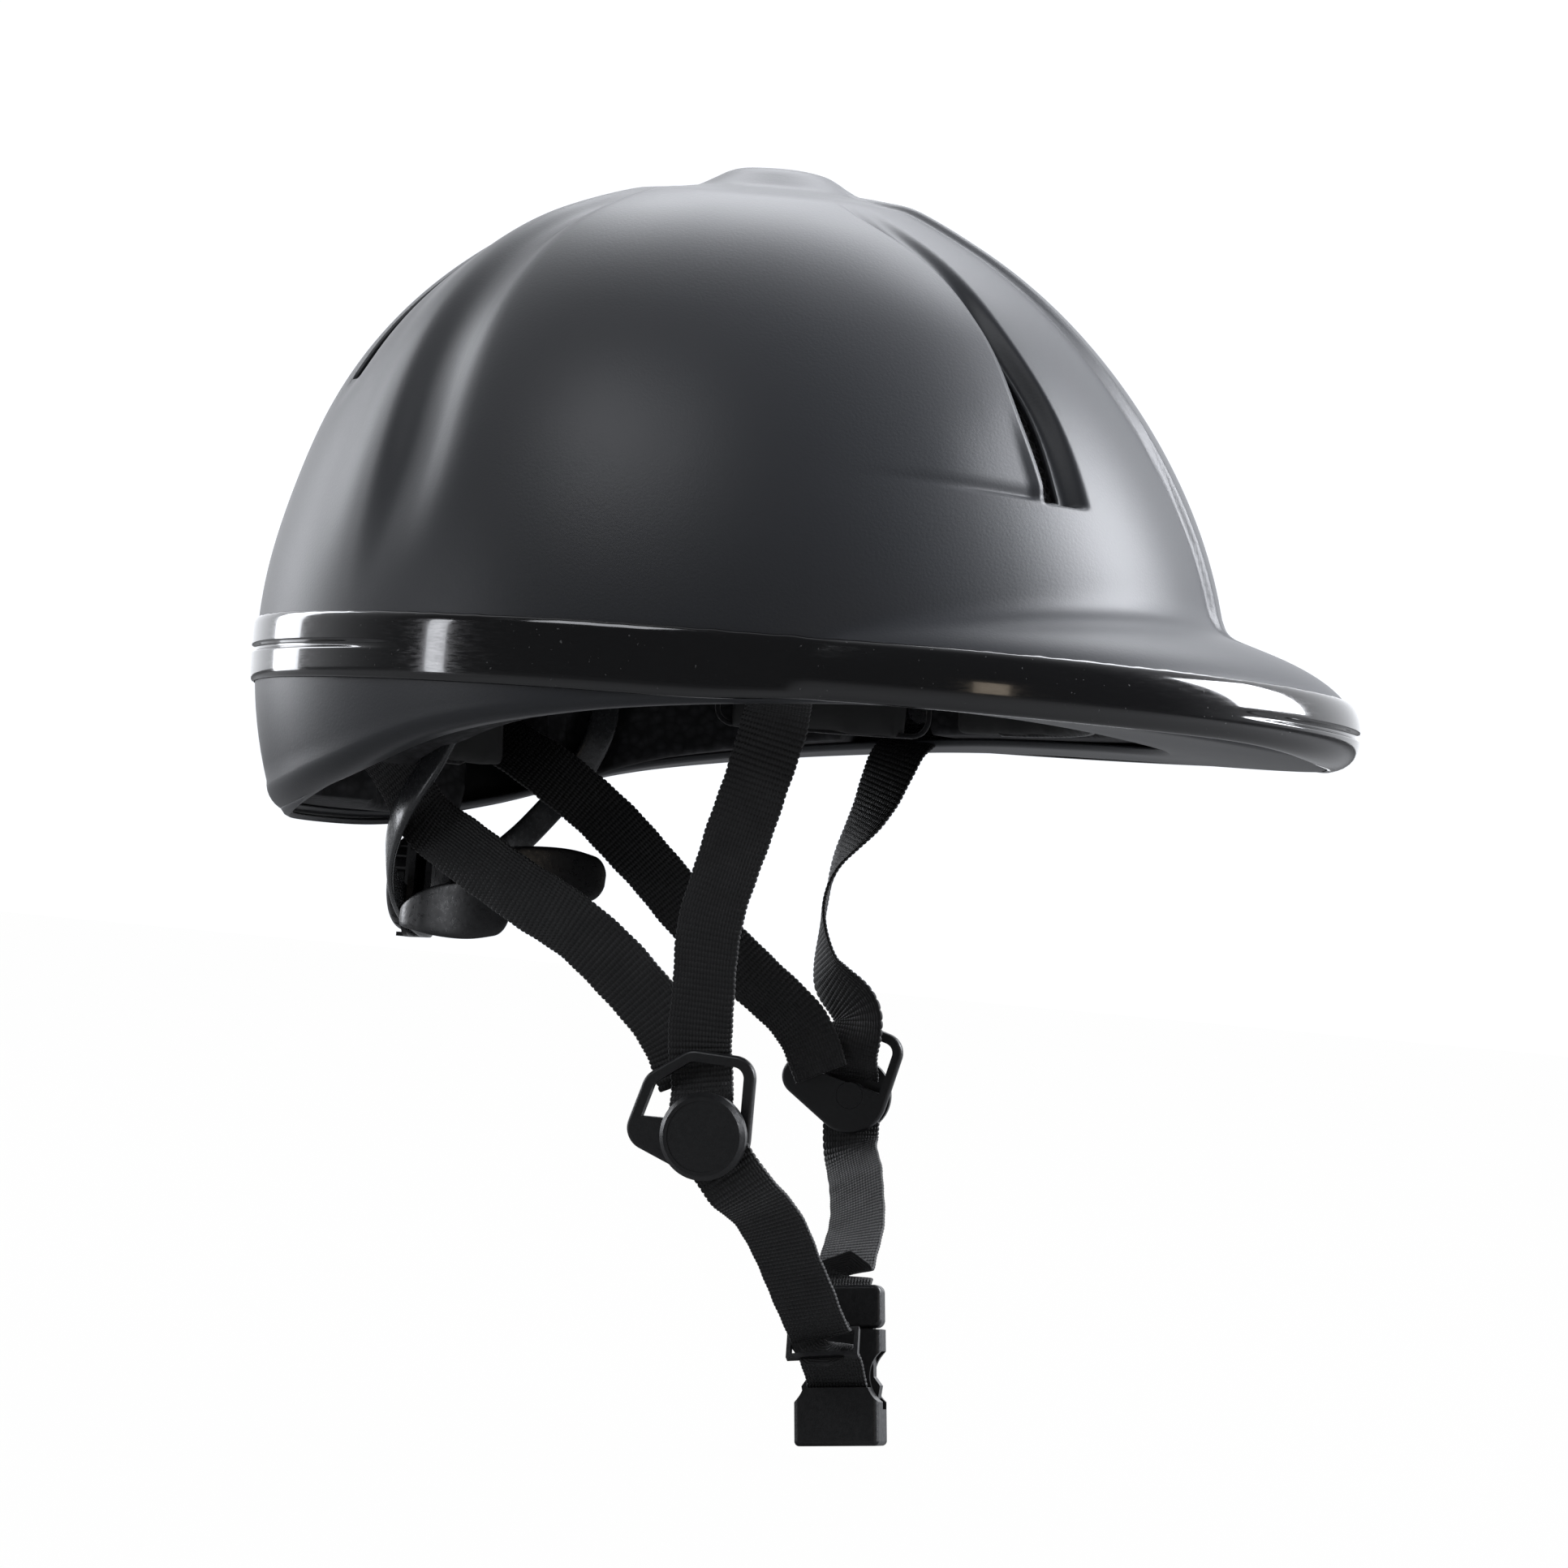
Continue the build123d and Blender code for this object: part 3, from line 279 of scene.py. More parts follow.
def outside(p):
    """Signed distance, about, from the outer form: dome and peak in a smooth union with a soft fillet."""
    dome_size, dome_slope = dome_gauge(p)
    peak_size, peak_slope = peak_gauge(p)
    to_dome = (dome_size - 1) / dome_slope
    to_peak = (peak_size - 1) / peak_slope
    turn = np.degrees(np.abs(np.arctan2(p[..., 1] / HALF_WIDTH, p[..., 0] / HALF_LENGTH)))
    fillet = 1.0 + 6.0 * smooth((78.0 - turn) / 50.0) * smooth((p[..., 2] + 4.0) / 12.0)
    mix = np.maximum(fillet - np.abs(to_dome - to_peak), 0.0) / fillet
    return np.minimum(to_dome, to_peak) - mix * mix * fillet / 4.0


def inside_dome(p):
    return dome_gauge(p)[0] - 1


def cast(start, direction, low, high, form=outside):
    """Distance along each direction to a form's surface, by halving."""
    low = np.full(direction.shape[:-1], low)
    high = np.full(direction.shape[:-1], high)
    for _ in range(26):
        middle = (low + high) / 2
        inside = form(start + direction * middle[..., None]) < 0
        low = np.where(inside, middle, low)
        high = np.where(inside, high, middle)
    return (low + high) / 2


def radial_form(turn, lift, form=outside):
    """A form along rays from the origin; turn and lift are degrees round and up the unit dome."""
    t, l = np.radians(turn), np.radians(lift)
    ray = np.stack(
        [HALF_LENGTH * np.cos(l) * np.cos(t), HALF_WIDTH * np.cos(l) * np.sin(t), DOME_HEIGHT * np.sin(l)], -1
    )
    return ray * cast(0.0, ray, 0.8, 1.6, form)[..., None]


def level_form(turn, height):
    """Outer form at given heights, along level rays out of the middle axis."""
    t = np.radians(turn)
    ray = np.stack([HALF_LENGTH * np.cos(t), HALF_WIDTH * np.sin(t), np.zeros_like(t)], -1)
    start = np.stack([np.zeros_like(t), np.zeros_like(t), height + np.zeros_like(t)], -1)
    return start + ray * cast(start, ray, 0.5, 1.6)[..., None]


def rim_height(x):
    """Height of the lower edge: deep round the nape, shallow at the ears, arched beside the peak's tip."""
    fall = NAPE + UNDERSIDE
    stations = np.array([-1.2, -0.93, -0.72, -0.43, -0.14, 0.15, 0.43, 0.8, 1.4]) * HALF_LENGTH
    behind = [NAPE, NAPE, NAPE - 0.22 * fall, NAPE - 0.62 * fall, EAR_RIM]
    ahead = [-UNDERSIDE - 0.4, -UNDERSIDE + 2.6, -UNDERSIDE + 3.0, -UNDERSIDE]
    return curve_through(x, stations, behind + ahead)


# ---------------------------------------------------------------- relief of the upper shell

# Each feature line runs up the shell, as (lift, turn round from the front) in degrees at its few bends.
SLOPE_TOP = [(0, 33), (33, 34), (43, 36), (56, 38), (68, 43), (90, 52)]
VENT_EDGE = [(0, 36.5), (22, 37.2), (34, 37.4), (43, 39.8), (56, 43.5), (68, 52), (90, 62)]
STEP_FOOT = [(0, 40.5), (22, 41), (30, 42), (43, 42.5), (56, 45.5), (68, 57), (90, 68)]
STEP_WIDTH = [(0, 1.2), (22, 0.6), (43, 0.6), (68, 1.8), (90, 3.0)]
VALLEY = [(0, 124), (20, 123.5), (43, 128), (58, 130), (74, 126), (90, 122)]
REAR_RIDGE = [(0, 129), (22, 131), (43, 137), (60, 142), (90, 144)]
REAR_VENT_NEAR = [(0, 151), (43, 152), (62, 154.5), (90, 158)]
REAR_VENT_WIDTH = [(0, 4), (27, 4), (39, 6.5), (54, 4), (90, 4)]

# The centre ridge's half width in millimetres at a few lifts.
RIDGE_HALF_WIDTH = [(0, 8.5), (10, 9), (25, 14), (40, 17), (58, 15), (75, 11), (90, 9)]

FRONT_VENT_LIFTS = (22.0, 43.0)
REAR_VENT_LIFTS = (31.0, 52.0)


def feature(line, lift):
    """Value of a feature line at each lift."""
    stations, values = zip(*line)
    return curve_through(lift, stations, values)


def front_vent_width(lift):
    return feature(STEP_FOOT, lift) - feature(VENT_EDGE, lift)


def rear_vent_width(lift):
    return feature(REAR_VENT_WIDTH, lift)


def step_crest(lift):
    return feature(STEP_FOOT, lift) + feature(STEP_WIDTH, lift)


def band_between(value, rise_from, rise_to, fall_from, fall_to):
    """0 outside, 1 inside, with smooth shoulders."""
    rise = smooth((value - rise_from) / (rise_to - rise_from))
    return rise * smooth((fall_to - value) / (fall_to - fall_from))


def relief(turn, lift, depth):
    """Height in millimetres of the moulded relief over the plain form, for turns of either sign.

    Front channel: falls from the slope's top to the vent's edge, stays down to the step's foot, and jumps back
    at the crest. Rear channel: a valley beside a soft ridge. Crown: a low round boss. Centre: a raised ridge.
    """
    side = np.abs(turn)
    x = HALF_LENGTH * np.cos(np.radians(lift)) * np.cos(np.radians(turn))
    y = HALF_WIDTH * np.cos(np.radians(lift)) * np.sin(np.radians(turn))
    top, edge, foot = (feature(line, lift) for line in (SLOPE_TOP, VENT_EDGE, STEP_FOOT))
    crest = step_crest(lift)
    strength = band_between(lift, 20.6, 21.6, 56.0, 71.0) * (0.35 + 0.65 * smooth((60.0 - lift) / 22.0))
    falling = smooth((side - top) / (edge - top)) * 0.8 + 0.2 * smooth((side - edge) / (foot - edge))
    rising = np.clip((side - foot) / (crest - foot), 0.0, 1.0)
    channel = -depth * strength * falling * (1.0 - rising)
    lip = 1.1 * band_between(lift, 21.0, 23.0, 40.0, 70.0) * np.where(side > crest, 1.0, rising)
    lip = lip * smooth((30.0 - (side - crest)) / 30.0) * strength
    shelf = -1.1 * band_between(lift, 20.8, 21.4, 23.0, 34.0) * smooth((side - crest) / 2.0)
    shelf = shelf * smooth((58.0 - side) / 16.0)
    valley, rear_ridge = feature(VALLEY, lift), feature(REAR_RIDGE, lift)
    rear_strength = band_between(lift, 2.0, 26.0, 62.0, 76.0)
    into_valley = smooth((side - (valley - 9.0)) / 9.0)
    out_of_valley = smooth((side - valley) / (rear_ridge - valley))
    behind = smooth((side - rear_ridge) / 10.0)
    rear = rear_strength * (-2.9 * into_valley + 2.5 * out_of_valley - 1.5 * behind)
    middle = feature(REAR_VENT_NEAR, lift) + feature(REAR_VENT_WIDTH, lift) / 2
    slot = np.exp(-(((side - middle) / 4.6) ** 2)) * band_between(lift, 24.0, 36.0, 46.0, 60.0)
    rear = rear - 1.9 * slot
    half_width = feature(RIDGE_HALF_WIDTH, lift)
    ridge = 2.1 * smooth((half_width - np.abs(y)) / 4.0) * smooth((x + 4.0) / 14.0)
    ridge = ridge * smooth((lift - 6.5) / 7.0) * smooth((84.0 - lift) / 12.0)
    rho = np.hypot(x - BOSS_X, y)
    boss = 3.8 * smooth((25.0 - rho) / 14.0)
    saddle = -1.2 * band_between(rho, 20.0, 27.0, 30.0, 44.0)
    return channel + lip + shelf + rear + ridge + boss + saddle


def warped_turns(lift, columns):
    """Turns of the grid's columns on one half, crowded on the feature lines, and the lines' columns."""
    lines = [np.zeros_like(lift)]
    reach = HALF_WIDTH * np.maximum(np.cos(np.radians(lift)), 0.05)
    ridge_line = np.minimum(np.degrees(np.arcsin(np.clip(13.0 / reach, 0, 0.45))), 26.0)
    lines.append(ridge_line)
    for line in (SLOPE_TOP, VENT_EDGE, STEP_FOOT):
        lines.append(feature(line, lift))
    lines.append(step_crest(lift))
    lines.append(step_crest(lift) + 6.0)
    for line in (VALLEY, REAR_RIDGE, REAR_VENT_NEAR):
        lines.append(feature(line, lift))
    lines.append(lines[-1] + feature(REAR_VENT_WIDTH, lift))
    lines.append(np.full_like(lift, 180.0))
    shares = np.array([18, 22, 14, 8, 4, 8, 40, 14, 14, 10, 20])
    counts = np.maximum(np.round(shares * columns / shares.sum()).astype(int), 2)
    turns, marks = [], [0]
    for index, count in enumerate(counts):
        t = np.arange(count) / count
        turns.append(lines[index][:, None] + (lines[index + 1] - lines[index])[:, None] * t)
        marks.append(marks[-1] + count)
    turns.append(lines[-1][:, None])
    return np.concatenate(turns, axis=1), marks


def shell_rows(rows):
    """Lifts of the rows: close together over the peak and at the vents' ends."""
    low = 10.5 * (np.linspace(0, 1, int(rows * 0.24), endpoint=False) ** 1.25)
    anchors = [10.5, 20.0, 21.0, 22.0, 24.0, 41.0, 43.0, 60.0, 74.0, 88.6]
    shares = np.array([8, 4, 5, 4, 15, 3, 14, 14, 16])
    counts = np.maximum(np.round(shares * rows * 0.76 / shares.sum()).astype(int), 2)
    lifts = [low]
    for index, count in enumerate(counts):
        start, end = anchors[index], anchors[index + 1]
        lifts.append(np.linspace(start, end, count, endpoint=False))
    lifts.append([anchors[-1]])
    return np.concatenate(lifts)


def grid_normals(p):
    """Normals of a grid surface that wraps round in columns."""
    down = np.gradient(p, axis=0)
    round_way = np.roll(p, -1, axis=1) - np.roll(p, 1, axis=1)
    return unit(np.cross(round_way, down))


# ---------------------------------------------------------------- node materials


class Nodes:
    """Small helper that builds a node material one call at a time."""

    def __init__(self, name):
        self.material = bpy.data.materials.new(name)
        self.material.use_nodes = True
        self.tree = self.material.node_tree
        self.shader = self.tree.nodes["Principled BSDF"]
        self.output = self.tree.nodes["Material Output"]

    def add(self, kind, **settings):
        node = self.tree.nodes.new(kind)
        inputs = settings.pop("inputs", {})
        for key, value in settings.items():
            setattr(node, key, value)
        for key, value in inputs.items():
            if isinstance(value, bpy.types.NodeSocket):
                self.tree.links.new(value, node.inputs[key])
            else:
                node.inputs[key].default_value = value
        return node

    def link(self, source, target):
        self.tree.links.new(source, target)

    def set(self, **values):
        for key, value in values.items():
            name = key.replace("_", " ").title().replace("Ior", "IOR")
            self.shader.inputs[name].default_value = value

    def object_space(self, scale=(1, 1, 1), rotation=(0, 0, 0)):
        where = self.add("ShaderNodeTexCoord")
        mapped = self.add("ShaderNodeMapping", inputs={"Scale": scale, "Rotation": rotation})
        self.link(where.outputs["Object"], mapped.inputs["Vector"])
        return mapped.outputs["Vector"]

    def noise(self, vector, scale, detail=3.0, roughness=0.5):
        node = self.add(
            "ShaderNodeTexNoise",
            inputs={"Vector": vector, "Scale": scale, "Detail": detail, "Roughness": roughness},
        )
        return node.outputs["Fac"]

    def spread(self, value, low_in, high_in, low_out, high_out):
        node = self.add(
            "ShaderNodeMapRange",
            inputs={
                "Value": value, "From Min": low_in, "From Max": high_in, "To Min": low_out, "To Max": high_out,
            },
        )
        return node.outputs["Result"]

    def mix_colour(self, factor, first, second):
        node = self.add("ShaderNodeMix", data_type="RGBA")
        self.link(factor, node.inputs[0])
        node.inputs[6].default_value = (*first, 1.0)
        node.inputs[7].default_value = (*second, 1.0)
        return node.outputs[2]

    def bump(self, height, strength, distance, before=None):
        sizes = {"Height": height, "Strength": strength, "Distance": distance}
        node = self.add("ShaderNodeBump", inputs=sizes)
        if before is not None:
            self.link(before, node.inputs["Normal"])
        return node.outputs["Normal"]


def shade(colour, factor):
    return tuple(min(channel * factor, 1.0) for channel in colour)


def matte_shell_material(name, colour):
    """Fine matte moulding: a dull even skin, very fine grain, faint cloudy change of gloss."""
    n = Nodes(name)
    space = n.object_space()
    cloud = n.noise(space, 9.0, 4.0)
    grain = n.noise(space, 1400.0, 2.0)
    n.link(n.mix_colour(n.spread(cloud, 0.3, 0.7, 0.0, 1.0), shade(colour, 0.94), shade(colour, 1.06)),
           n.shader.inputs["Base Color"])
    n.link(n.spread(cloud, 0.3, 0.7, 0.40, 0.46), n.shader.inputs["Roughness"])
    n.set(specular_ior_level=0.5, sheen_weight=0.04, sheen_roughness=0.6)
    n.link(n.bump(grain, 0.10, 0.0003), n.shader.inputs["Normal"])
    return n.material


def gloss_band_material(name, colour):
    """Polished black band: mirror gloss with slow waves, dust specks and hairline scuffs."""
    n = Nodes(name)
    space = n.object_space()
    wave = n.noise(space, 16.0, 2.0)
    scuff = n.noise(n.object_space(scale=(1.0, 1.0, 6.0)), 260.0, 5.0, 0.7)
    dust = n.noise(space, 900.0, 2.0)
    speck = n.spread(dust, 0.72, 0.76, 0.0, 1.0)
    n.link(n.mix_colour(speck, colour, (0.10, 0.10, 0.10)), n.shader.inputs["Base Color"])
    n.link(n.spread(scuff, 0.35, 0.8, 0.07, 0.22), n.shader.inputs["Roughness"])
    n.set(specular_ior_level=0.55, coat_weight=0.6, coat_roughness=0.05)
    n.link(n.bump(wave, 0.25, 0.0006), n.shader.inputs["Normal"])
    return n.material


def moulded_material(name, colour, roughness=0.42, grain_size=900.0):
    """Satin moulded plastic: fine spark-eroded grain, slight change of tone and gloss."""
    n = Nodes(name)
    space = n.object_space()
    tone = n.noise(space, 60.0, 3.0)
    grain = n.noise(space, grain_size, 3.0)
    n.link(n.mix_colour(n.spread(tone, 0.3, 0.7, 0.0, 1.0), shade(colour, 0.85), shade(colour, 1.2)),
           n.shader.inputs["Base Color"])
    n.link(n.spread(grain, 0.3, 0.7, roughness - 0.06, roughness + 0.08), n.shader.inputs["Roughness"])
    n.set(specular_ior_level=0.5)
    n.link(n.bump(grain, 0.22, 0.0002), n.shader.inputs["Normal"])
    return n.material


def steel_material(name):
    """Plated steel with fine turning marks."""
    n = Nodes(name)
    space = n.object_space(scale=(1, 1, 12))
    marks = n.noise(space, 700.0, 4.0)
    n.link(n.mix_colour(marks, (0.30, 0.30, 0.31), (0.48, 0.48, 0.50)), n.shader.inputs["Base Color"])
    n.link(n.spread(marks, 0.3, 0.7, 0.22, 0.42), n.shader.inputs["Roughness"])
    n.set(metallic=1.0)
    return n.material


def foam_material(name):
    """Expanded bead foam: packed beads with dark seams between them."""
    n = Nodes(name)
    space = n.object_space()
    beads = n.add("ShaderNodeTexVoronoi", inputs={"Vector": space, "Scale": 330.0})
    height = n.spread(beads.outputs["Distance"], 0.0, 0.7, 1.0, 0.0)
    n.link(n.mix_colour(height, (0.008, 0.008, 0.009), (0.030, 0.030, 0.033)), n.shader.inputs["Base Color"])
    n.set(roughness=0.75, specular_ior_level=0.3)
    n.link(n.bump(height, 0.6, 0.0004), n.shader.inputs["Normal"])
    return n.material


def knit_material(name, colour):
    """Brushed knit over foam: rows of small loops, soft fibre sheen, uneven nap."""
    n = Nodes(name)
    space = n.object_space()
    loops = n.add("ShaderNodeTexVoronoi", inputs={"Vector": space, "Scale": 620.0})
    nap = n.noise(space, 1500.0, 4.0)
    cloud = n.noise(space, 40.0, 3.0)
    height = n.spread(loops.outputs["Distance"], 0.0, 0.8, 1.0, 0.0)
    n.link(n.mix_colour(cloud, shade(colour, 0.7), shade(colour, 1.35)), n.shader.inputs["Base Color"])
    n.set(roughness=0.9, specular_ior_level=0.25, sheen_weight=0.5, sheen_roughness=0.45)
    first = n.bump(height, 0.5, 0.0003)
    n.link(n.bump(nap, 0.35, 0.0002, first), n.shader.inputs["Normal"])
    return n.material


def net_material(name):
    """Open warp-knit net: fine cords on a solid sheet whose cells are painted near-black, painted shade
    standing in for the dark holes seen behind the vents.
    """
    n = Nodes(name)
    space = n.object_space()
    cells = n.add(
        "ShaderNodeTexVoronoi", feature="DISTANCE_TO_EDGE", inputs={"Vector": space, "Scale": 420.0}
    )
    cord = n.spread(cells.outputs["Distance"], 0.04, 0.16, 1.0, 0.0)
    # The cells between the cords are painted near-black: painted shade for the dark interior seen through the
    # holes.
    n.link(n.mix_colour(cord, (0.002, 0.002, 0.002), (0.030, 0.030, 0.033)), n.shader.inputs["Base Color"])
    n.set(roughness=0.8, specular_ior_level=0.3)
    n.link(n.bump(cord, 1.0, 0.0005), n.shader.inputs["Normal"])
    return n.material


def webbing_material(name, colour):
    """Ribbed polyester webbing: on its own UV map, u runs across and v along, both in millimetres.

    Each rib is a weft cord crossed by fine warp threads; the base colour is painted darker between the ribs
    and much lighter on their crests, painted shade and painted highlight that make small lit dots run along
    it.
    """
    n = Nodes(name)
    where = n.add("ShaderNodeUVMap", uv_map="UVMap")
    dots = n.add(
        "ShaderNodeTexWave", wave_type="BANDS", bands_direction="X", inputs={"Scale": 0.36, "Distortion": 0.6}
    )
    n.link(where.outputs["UV"], dots.inputs["Vector"])
    fibres = n.add("ShaderNodeMapping", inputs={"Scale": (9.0, 2.2, 1.0)})
    n.link(where.outputs["UV"], fibres.inputs["Vector"])
    fine = n.noise(fibres.outputs["Vector"], 1.0, 4.0, 0.6)
    patch = n.noise(where.outputs["UV"], 0.12, 3.0)
    # Painted light: rib crests painted lighter as painted highlight, the gaps between ribs darker as painted
    # shade.
    rib_highlight_mask = n.add("ShaderNodeMath", operation="MULTIPLY", inputs={0: dots.outputs["Fac"], 1: fine})
    rib_highlit_colour = n.mix_colour(rib_highlight_mask.outputs[0], shade(colour, 0.55), shade(colour, 2.3))
    n.link(rib_highlit_colour, n.shader.inputs["Base Color"])
    n.link(n.spread(patch, 0.3, 0.7, 0.52, 0.68), n.shader.inputs["Roughness"])
    n.set(specular_ior_level=0.45, sheen_weight=0.15, sheen_roughness=0.4)
    first = n.bump(dots.outputs["Fac"], 0.55, 0.0003)
    n.link(n.bump(fine, 0.4, 0.0002, first), n.shader.inputs["Normal"])
    return n.material


def hook_tape_material(name):
    """Hook-and-loop tape: a bed of tiny hooks."""
    n = Nodes(name)
    space = n.object_space()
    hooks = n.add("ShaderNodeTexVoronoi", inputs={"Vector": space, "Scale": 900.0})
    height = n.spread(hooks.outputs["Distance"], 0.0, 0.5, 1.0, 0.0)
    n.link(n.mix_colour(height, (0.006, 0.006, 0.006), (0.035, 0.035, 0.037)), n.shader.inputs["Base Color"])
    n.set(roughness=0.8)
    n.link(n.bump(height, 0.9, 0.0005), n.shader.inputs["Normal"])
    return n.material


def dress(node, material):
    """Gives a carried-over frame node its material."""
    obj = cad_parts[node]
    for slot in obj.material_slots:
        slot.material = material
    if not obj.material_slots:
        obj.data.materials.append(material)


# ---------------------------------------------------------------- shells and band


def drop_faces(faces, rows, columns):
    """Quads of a grid without those in a block of rows and columns."""
    keep = np.ones(faces.shape[:2], dtype=bool)
    for (row_from, row_to), (column_from, column_to) in zip(rows, columns):
        keep[row_from:row_to, column_from:column_to] = False
    return faces[keep]


def build_upper_shell(settings):
    """Radial form plus relief, on columns that follow the feature lines; vents are left out of the grid."""
    lifts = shell_rows(settings.rows)
    half_turns, marks = warped_turns(lifts, settings.columns)
    turns = np.concatenate([half_turns, -half_turns[:, -2:0:-1]], axis=1)
    lift_grid = np.repeat(lifts[:, None], turns.shape[1], axis=1)
    plain = radial_form(turns, lift_grid)
    normals = grid_normals(plain)
    outward = np.sign(np.sum(normals * plain, axis=-1, keepdims=True))
    raised = relief(turns, lift_grid, settings.channel_depth / MM)
    surface = plain + normals * outward * raised[..., None]
    full = turns.shape[1]
    crown = np.mean(surface[-1], axis=0) + np.array([0.0, 0.0, 0.02])
    faces = grid_faces(len(lifts), full, wrap=True)
    blocks = []
    for (low, high), near, far in ((FRONT_VENT_LIFTS, 3, 4), (REAR_VENT_LIFTS, 9, 10)):
        row_range = (int(np.searchsorted(lifts, low)), int(np.searchsorted(lifts, high)))
        blocks.append((row_range, (marks[near], marks[far])))
        blocks.append((row_range, (full - marks[far], full - marks[near])))
    quads = drop_faces(faces, [b[0] for b in blocks], [b[1] for b in blocks])
    last = (len(lifts) - 1) * full
    ring = np.arange(full)
    fan = np.stack([last + ring, last + (ring + 1) % full, np.full(full, len(lifts) * full)], -1)
    points = np.concatenate([surface.reshape(-1, 3), crown[None]])
    shell = mesh_object("outer_shell_upper", points, [quads, fan])
    add_modifier(shell, "SOLIDIFY", thickness=settings.wall, offset=-1.0, use_even_offset=False)
    return shell


def build_lower_shell():
    """Outline at each height down to the rim, a rolled corner, the underside, and a short wall back up.

    The outline tucks in towards the nape, by TUCK times the share of the depth there to the power 1.6.
    """
    turns = np.concatenate([np.linspace(0, 80, 90, endpoint=False), np.linspace(80, 180, 90, endpoint=False)])
    turns = np.concatenate([turns, 360 - np.concatenate([[180.0], turns[:0:-1]])])
    t = np.radians(turns)
    reach = level_form(turns, np.full_like(turns, -4.0))
    rim = rim_height(reach[:, 0])
    deep = np.clip((-rim - 10) / 37.0, 0, 1)
    corner = LOWER_CORNER + NAPE_EXTRA_CORNER * deep
    rows = []
    wall_steps, arc_steps, floor_steps, inner_steps = 10, 9, 6, 5
    inward = -unit(np.stack([np.cos(t) / HALF_LENGTH, np.sin(t) / HALF_WIDTH, np.zeros_like(t)], -1))
    for share in np.linspace(0, 1, wall_steps):
        height = -0.1 + (rim + corner + 0.1) * share
        tuck = TUCK * (height / NAPE) ** 1.6
        rows.append(level_form(turns, height) + inward * tuck[:, None])
    wall_foot = rows[-1]
    for angle in np.radians(np.linspace(0, 90, arc_steps + 1)[1:]):
        step = inward * (corner * (1 - np.cos(angle)))[:, None]
        step[:, 2] -= corner * np.sin(angle)
        rows.append(wall_foot + step)
    edge = rows[-1]
    mouth_length, mouth_width = HALF_LENGTH - MOUTH_INSET, HALF_WIDTH - MOUTH_INSET
    mouth = np.stack([mouth_length * np.cos(t), mouth_width * np.sin(t), rim + 0.9], -1)
    for share in np.linspace(0, 1, floor_steps + 1)[1:]:
        rows.append(edge * (1 - share) + mouth * share)
    for share in np.linspace(0, 1, inner_steps + 1)[1:]:
        fold = mouth + inward * (1.6 * np.sin(share * math.pi / 2))[..., None]
        fold[:, 2] += 2.2 * share**1.5
        rows.append(fold)
    grid = np.stack(rows)
    faces = grid_faces(len(rows), len(turns), wrap=True).reshape(-1, 4)[:, ::-1]
    shell = mesh_object("outer_shell_lower", grid, [faces])
    add_modifier(shell, "SOLIDIFY", thickness=LOWER_WALL * MM, offset=-1.0, use_even_offset=False)
    return shell


def build_trim(settings):
    """Outline at each height of the band, pushed out by its thickness, with rolled edges.

    A groove at mid height runs round the nape and the peak's tip, and the lower half narrows between them.
    """
    near_peak = np.linspace(0, 70, 200, endpoint=False)
    half = np.concatenate([near_peak, np.linspace(70, 180, 160, endpoint=False)])
    turns = np.concatenate([half, 360 - np.concatenate([[180.0], half[:0:-1]])])
    side = np.minimum(turns, 360 - turns)
    edges = np.sin(np.radians(np.linspace(-90, 90, 21)))
    heights = np.sort(np.concatenate([edges[np.abs(edges) > 0.24], np.linspace(-0.2, 0.2, 13)]))
    arch = BAND_ARCH * smooth((88.0 - side) / 24.0) * smooth((side - 2.0) / 30.0)
    groove = smooth((side - 116.0) / 20.0) + smooth((30.0 - side) / 14.0)
    rng = np.random.default_rng(7)
    ragged = np.convolve(np.pad(rng.normal(0, 0.14, len(turns)), 1, mode="wrap"), [0.25, 0.5, 0.25], "valid")
    proud = TRIM_PROUD - BAND_LIFT
    rows = []
    for height in heights:
        level = height * TRIM_HALF + ragged * smooth((height - 0.9) / 0.1)
        level = np.where(level < 0, level * (1 - arch), level)
        base = level_form(turns, level)
        above = level_form(turns, level + 0.4)
        ahead = np.roll(base, -1, axis=0) - np.roll(base, 1, axis=0)
        outward = unit(np.cross(ahead, above - base))
        dip = settings.groove / MM * groove * np.exp(-((height * TRIM_HALF / 0.9) ** 4))
        out = BAND_LIFT + proud * (1 - abs(height) ** 10) ** 0.5 - dip
        rows.append(base + outward * out[:, None])
    grid = np.stack(rows)
    faces = grid_faces(len(grid), len(turns), wrap=True).reshape(-1, 4)
    return mesh_object("gloss_band", grid, [faces])


# ---------------------------------------------------------------- foam liner

FOAM_UNDER_SHELL = 1.6
FOAM_ABOVE_RIM = 3.3
FOAM_CORNER = 2.0
NOTCH_HALF_TURN = 8.0
NOTCH_TOP = 9.0
FOAM_TURN_STEP = 1.5
# Holes through the foam under the front and the rear vents: lifts, then turns.
FOAM_HOLES = [((22.0, 41.0), (36.0, 45.0)), ((31.0, 52.0), (150.0, 160.5))]


def border(rows, columns, across):
    """Vertex numbers round a block of grid faces, in order."""
    (r0, r1), (c0, c1) = rows, columns
    loop = [(r0, c) for c in range(c0, c1)] + [(r, c1) for r in range(r0, r1)]
    loop += [(r1, c) for c in range(c1, c0, -1)] + [(r, c0) for r in range(r1, r0, -1)]
    return np.array([r * across + c % across for r, c in loop])


def foam_rim(turn):
    """Height of the foam's lower edge: above the shell's rim, with a notch over each strap."""
    side = np.abs((turn + 180.0) % 360.0 - 180.0)
    rim = rim_height(HALF_LENGTH * np.cos(np.radians(side))) + FOAM_ABOVE_RIM
    front = smooth((NOTCH_HALF_TURN - np.abs(side - FRONT_ANCHOR_TURN)) / 2.0)
    rear = smooth((NOTCH_HALF_TURN + 1.5 - np.abs(side - REAR_ANCHOR_TURN + 2.0)) / 2.0)
    return rim + (NOTCH_TOP - rim) * np.maximum(front, rear)


